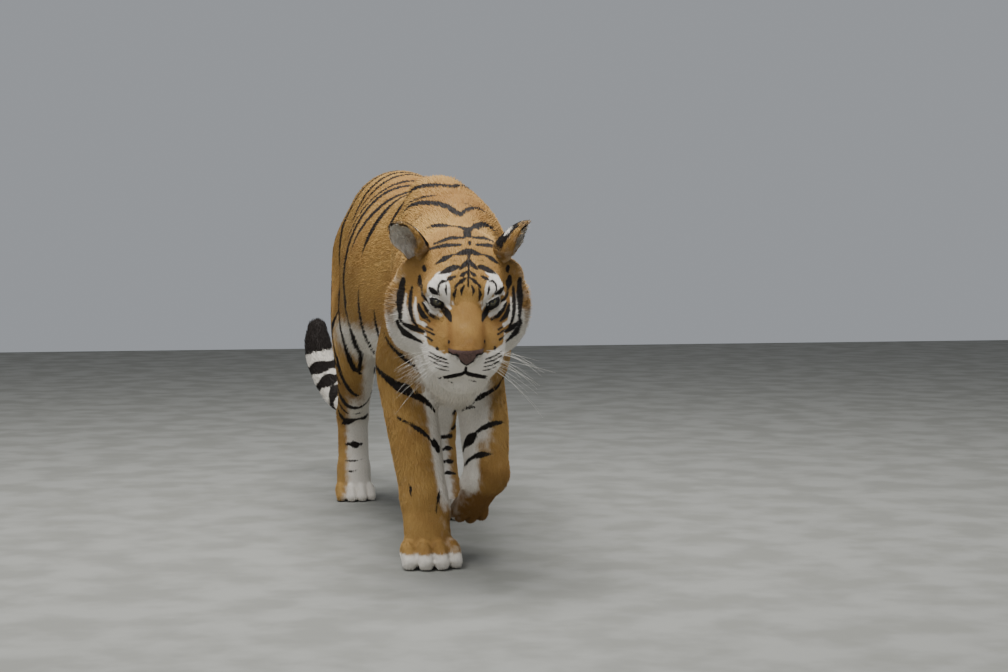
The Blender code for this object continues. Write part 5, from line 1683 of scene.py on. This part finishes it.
# %% Rods along lines
def rod_tree(finish):
    tree = bpy.data.node_groups.new("rods along lines", "GeometryNodeTree")
    tree.interface.new_socket("Geometry", in_out="INPUT", socket_type="NodeSocketGeometry")
    tree.interface.new_socket("Sides", in_out="INPUT", socket_type="NodeSocketInt").default_value = 6
    tree.interface.new_socket("Thickness", in_out="INPUT", socket_type="NodeSocketFloat").default_value = 1.0
    tree.interface.new_socket("Geometry", in_out="OUTPUT", socket_type="NodeSocketGeometry")
    start, end = tree.nodes.new("NodeGroupInput"), tree.nodes.new("NodeGroupOutput")
    line, round_ = tree.nodes.new("GeometryNodeMeshToCurve"), tree.nodes.new("GeometryNodeCurvePrimitiveCircle")
    round_.inputs["Radius"].default_value = 1.0
    thick = tree.nodes.new("ShaderNodeMath")
    thick.operation = "MULTIPLY"
    sweep = tree.nodes.new("GeometryNodeCurveToMesh")
    sweep.inputs["Fill Caps"].default_value = True
    real, colour = tree.nodes.new("GeometryNodeRealizeInstances"), tree.nodes.new("GeometryNodeSetMaterial")
    smooth = tree.nodes.new("GeometryNodeSetShadeSmooth")
    colour.inputs["Material"].default_value = finish
    link_all(tree, [
        (start.outputs["Geometry"], line.inputs["Mesh"]), (start.outputs["Sides"], round_.inputs["Resolution"]),
        (named(tree, "thick", "FLOAT"), thick.inputs[0]), (start.outputs["Thickness"], thick.inputs[1]),
        (line.outputs[0], sweep.inputs["Curve"]), (round_.outputs[0], sweep.inputs["Profile Curve"]),
        (thick.outputs[0], sweep.inputs["Scale"]), (sweep.outputs[0], smooth.inputs["Geometry"]),
        (smooth.outputs[0], real.inputs[0]), (real.outputs[0], colour.inputs["Geometry"]),
        (colour.outputs[0], end.inputs[0]),
    ])
    return tree


def rods(name, lines, finish, sides=6, closed=False):
    """lines: arrays of x, y, z, radius."""
    points = np.vstack(lines)
    edges, first = [], 0
    for line in lines:
        edges += [(first + i, first + i + 1) for i in range(len(line) - 1)]
        if closed:
            edges.append((first + len(line) - 1, first))
        first += len(line)
    mesh = bpy.data.meshes.new(name)
    mesh.from_pydata(points[:, :3].tolist(), edges, [])
    set_attribute(mesh, "thick", points[:, 3])
    bed = new_object(name + "_lines", mesh)
    result = run_tree(bed, rod_tree(finish), {"Sides": sides, "Thickness": 1.0})
    bpy.data.objects.remove(bed)
    return new_object(name, result)


def plain_material(name, low, high, scale, roughness, specular=0.4, bump=0.0, bump_depth=0.0005):
    """Two tones in a fine noise, for skin without hair and for whiskers."""
    material, tree, shader = new_material(name, roughness, specular)
    place = add_node(tree, "ShaderNodeTexCoord").outputs["Object"]
    grain = add_node(tree, "ShaderNodeTexNoise", Scale=scale, Detail=3.0, Vector=place).outputs["Fac"]
    tree.links.new(mixed(tree, ranged(tree, grain, 0.35, 0.65), low, high), shader.inputs["Base Color"])
    if bump:
        cells = add_node(tree, "ShaderNodeTexVoronoi", Scale=scale * 1.6, Vector=place).outputs["Distance"]
        rough = add_node(tree, "ShaderNodeBump", Strength=bump, Distance=bump_depth, Height=cells)
        tree.links.new(rough.outputs[0], shader.inputs["Normal"])
    return material


lid_finish = plain_material("bare lid", (0.006, 0.005, 0.005, 1), (0.020, 0.014, 0.012, 1), 800, 0.35)
whisker_finish = plain_material("whisker", (0.56, 0.53, 0.46, 1), (0.72, 0.69, 0.62, 1), 300, 0.40)


def lid_edge(s, steps=72):
    centre, slit, high, out = eye_axes(s)
    turn = np.linspace(0, 2 * math.pi, steps, endpoint=False)
    x = SLIT_HALF_LENGTH * np.cos(turn)
    arch = 1 - (x / SLIT_HALF_LENGTH) ** 2
    z = np.where(np.sin(turn) > 0, UPPER_LID_RISE, -LOWER_LID_DROP) * arch
    depth = np.sqrt(np.maximum((EYE_RADIUS + 0.0006) ** 2 - x**2 - z**2, 0))
    points = centre + x[:, None] * slit + z[:, None] * high + depth[:, None] * out
    return np.column_stack([points, np.full(steps, 0.0010)])


lid_edges = rods("lid_edges", [lid_edge(s) for s in (-1, 1)], lid_finish, 8, closed=True)
print("lid edges", len(lid_edges.data.polygons), "faces")

# %% Whiskers
WHISKER_ROWS = [(-104, 44, 74), (-113, 40, 76), (-124, 38, 72), (-134, 38, 66)]  # up, nearest and farthest across
whisker_lines = []
for s in (-1, 1):
    for up, near, far in WHISKER_ROWS:
        for i, u in enumerate(np.linspace(near, far, 5)):
            start = BROW + SIDE * s * u * MM + np.array((0, 0, up * MM)) + FACING * 0.30
            spot = cast_onto_skin(start[None, :], -FACING)[0]
            length = rng.uniform(0.085, 0.145) * (1.0 if i < 4 else 0.75)
            way = SIDE * s * rng.uniform(0.75, 1.0) + FACING * rng.uniform(0.15, 0.55)
            way = way + np.array((0, 0, rng.uniform(-0.60, -0.02)))
            way = way / np.linalg.norm(way)
            t = np.linspace(0, 1, 9)[:, None]
            sag = np.array((0, 0, -1)) * rng.uniform(0.10, 0.38) - FACING * rng.uniform(0.15, 0.45)
            line = spot + length * (t * way + t**2 * sag) - way * 0.004 * (1 - t)
            out = np.abs(line[:, 0]).max() - abs(spot[0])
            line = spot + (line - spot) * min(1.0, (0.216 - abs(spot[0])) / max(out, 0.001))
            thick = 0.00030 * (1 - 0.85 * t) + 0.00004
            whisker_lines.append(np.column_stack([line, thick]))
whiskers = rods("whiskers", whisker_lines, whisker_finish, 5)
print(len(whisker_lines), "whiskers reach from", corners(whiskers.data)[:, 0].min().round(3), "to",
      corners(whiskers.data)[:, 0].max().round(3))

# %% Nose leather
leather_finish = plain_material("nose leather", (0.070, 0.036, 0.030, 1), (0.135, 0.074, 0.060, 1), 420, 0.42, 0.4, 0.5,
                                0.0005)
nose_leather.data.materials.clear()
nose_leather.data.materials.append(leather_finish)
sheet = bmesh.new()
sheet.from_mesh(skin.data)
sheet.faces.ensure_lookup_table()
bmesh.ops.delete(sheet, geom=[sheet.faces[i] for i in np.flatnonzero(leather)], context="FACES")
sheet.to_mesh(skin.data)
sheet.free()
print("skin", len(skin.data.polygons), "triangles")

# %% [markdown]
# ## Hand the pieces to the frame
# Everything so far was placed from the shoulders. The frame has its own origin, so each finished mesh is moved there
# once, and its object stays at the origin.

# %% Move, ride, replace
EYES = ("eye_right", "eye_left")
flesh_nodes = [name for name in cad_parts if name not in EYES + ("nose",)]
pieces = [skin, nose_leather, lid_edges, whiskers] + eyeballs + coat
for piece in pieces:
    piece.data.transform(Matrix.Translation(SHIFT))
    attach(piece, "root")
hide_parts(*flesh_nodes)
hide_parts("nose")
for ball, node in zip(eyeballs, EYES):
    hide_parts(node)
print(len(pieces), "pieces")

# %% [markdown]
# ## Camera, floor and light
# The camera stands low in front, a little to the animal's right. The light is a grey sky, a strong soft light from
# above and in front, and a faint one from the front.

# %% Camera
CAMERA_PLACE = Vector((-0.845, -4.583, 0.780)) + SHIFT
CAMERA_YAW, CAMERA_DOWN = math.radians(-12), math.radians(3.02)
back = Vector((math.sin(CAMERA_YAW) * math.cos(CAMERA_DOWN), -math.cos(CAMERA_YAW) * math.cos(CAMERA_DOWN),
               math.sin(CAMERA_DOWN)))
right = (-back).cross(Vector((0, 0, 1))).normalized()
camera = bpy.data.objects.new("camera", bpy.data.cameras.new("camera"))
bpy.context.scene.collection.objects.link(camera)
camera.data.lens = 69.64
camera.data.sensor_width = 36
turned = Matrix((right, right.cross(back) * -1, back)).transposed().to_4x4()
camera.matrix_world = Matrix.Translation(CAMERA_PLACE) @ turned
bpy.context.scene.camera = camera
print("camera", [round(v, 3) for v in CAMERA_PLACE])

# %% Floor and lights
bpy.ops.mesh.primitive_plane_add(size=16, location=(0, 0, -0.0005))
floor = bpy.context.object
floor.name = "floor"
floor.data.materials.append(plain_material("pale floor", (0.20, 0.20, 0.18, 1), (0.25, 0.25, 0.23, 1), 6, 0.9, 0.1))
world = bpy.data.worlds.new("sky")
bpy.context.scene.world = world
world.use_nodes = True
world.node_tree.nodes["Background"].inputs["Color"].default_value = (0.80, 0.84, 0.90, 1)
world.node_tree.nodes["Background"].inputs["Strength"].default_value = 0.40
LIGHTS = [  # name, place, size in metres, watts
    ("sky light", (-0.4, -0.9, 4.2), 3.0, 370),
    ("front light", (-2.0, -4.5, 2.4), 2.5, 40),
]
for name, place, size, watts in LIGHTS:
    light = bpy.data.objects.new(name, bpy.data.lights.new(name, "AREA"))
    light.data.size, light.data.energy = size, watts
    light.location = place
    light.rotation_euler = (Vector((0, 0, 0.5)) - Vector(place)).to_track_quat("-Z", "Y").to_euler()
    bpy.context.scene.collection.objects.link(light)
print("floor, sky and two lights")
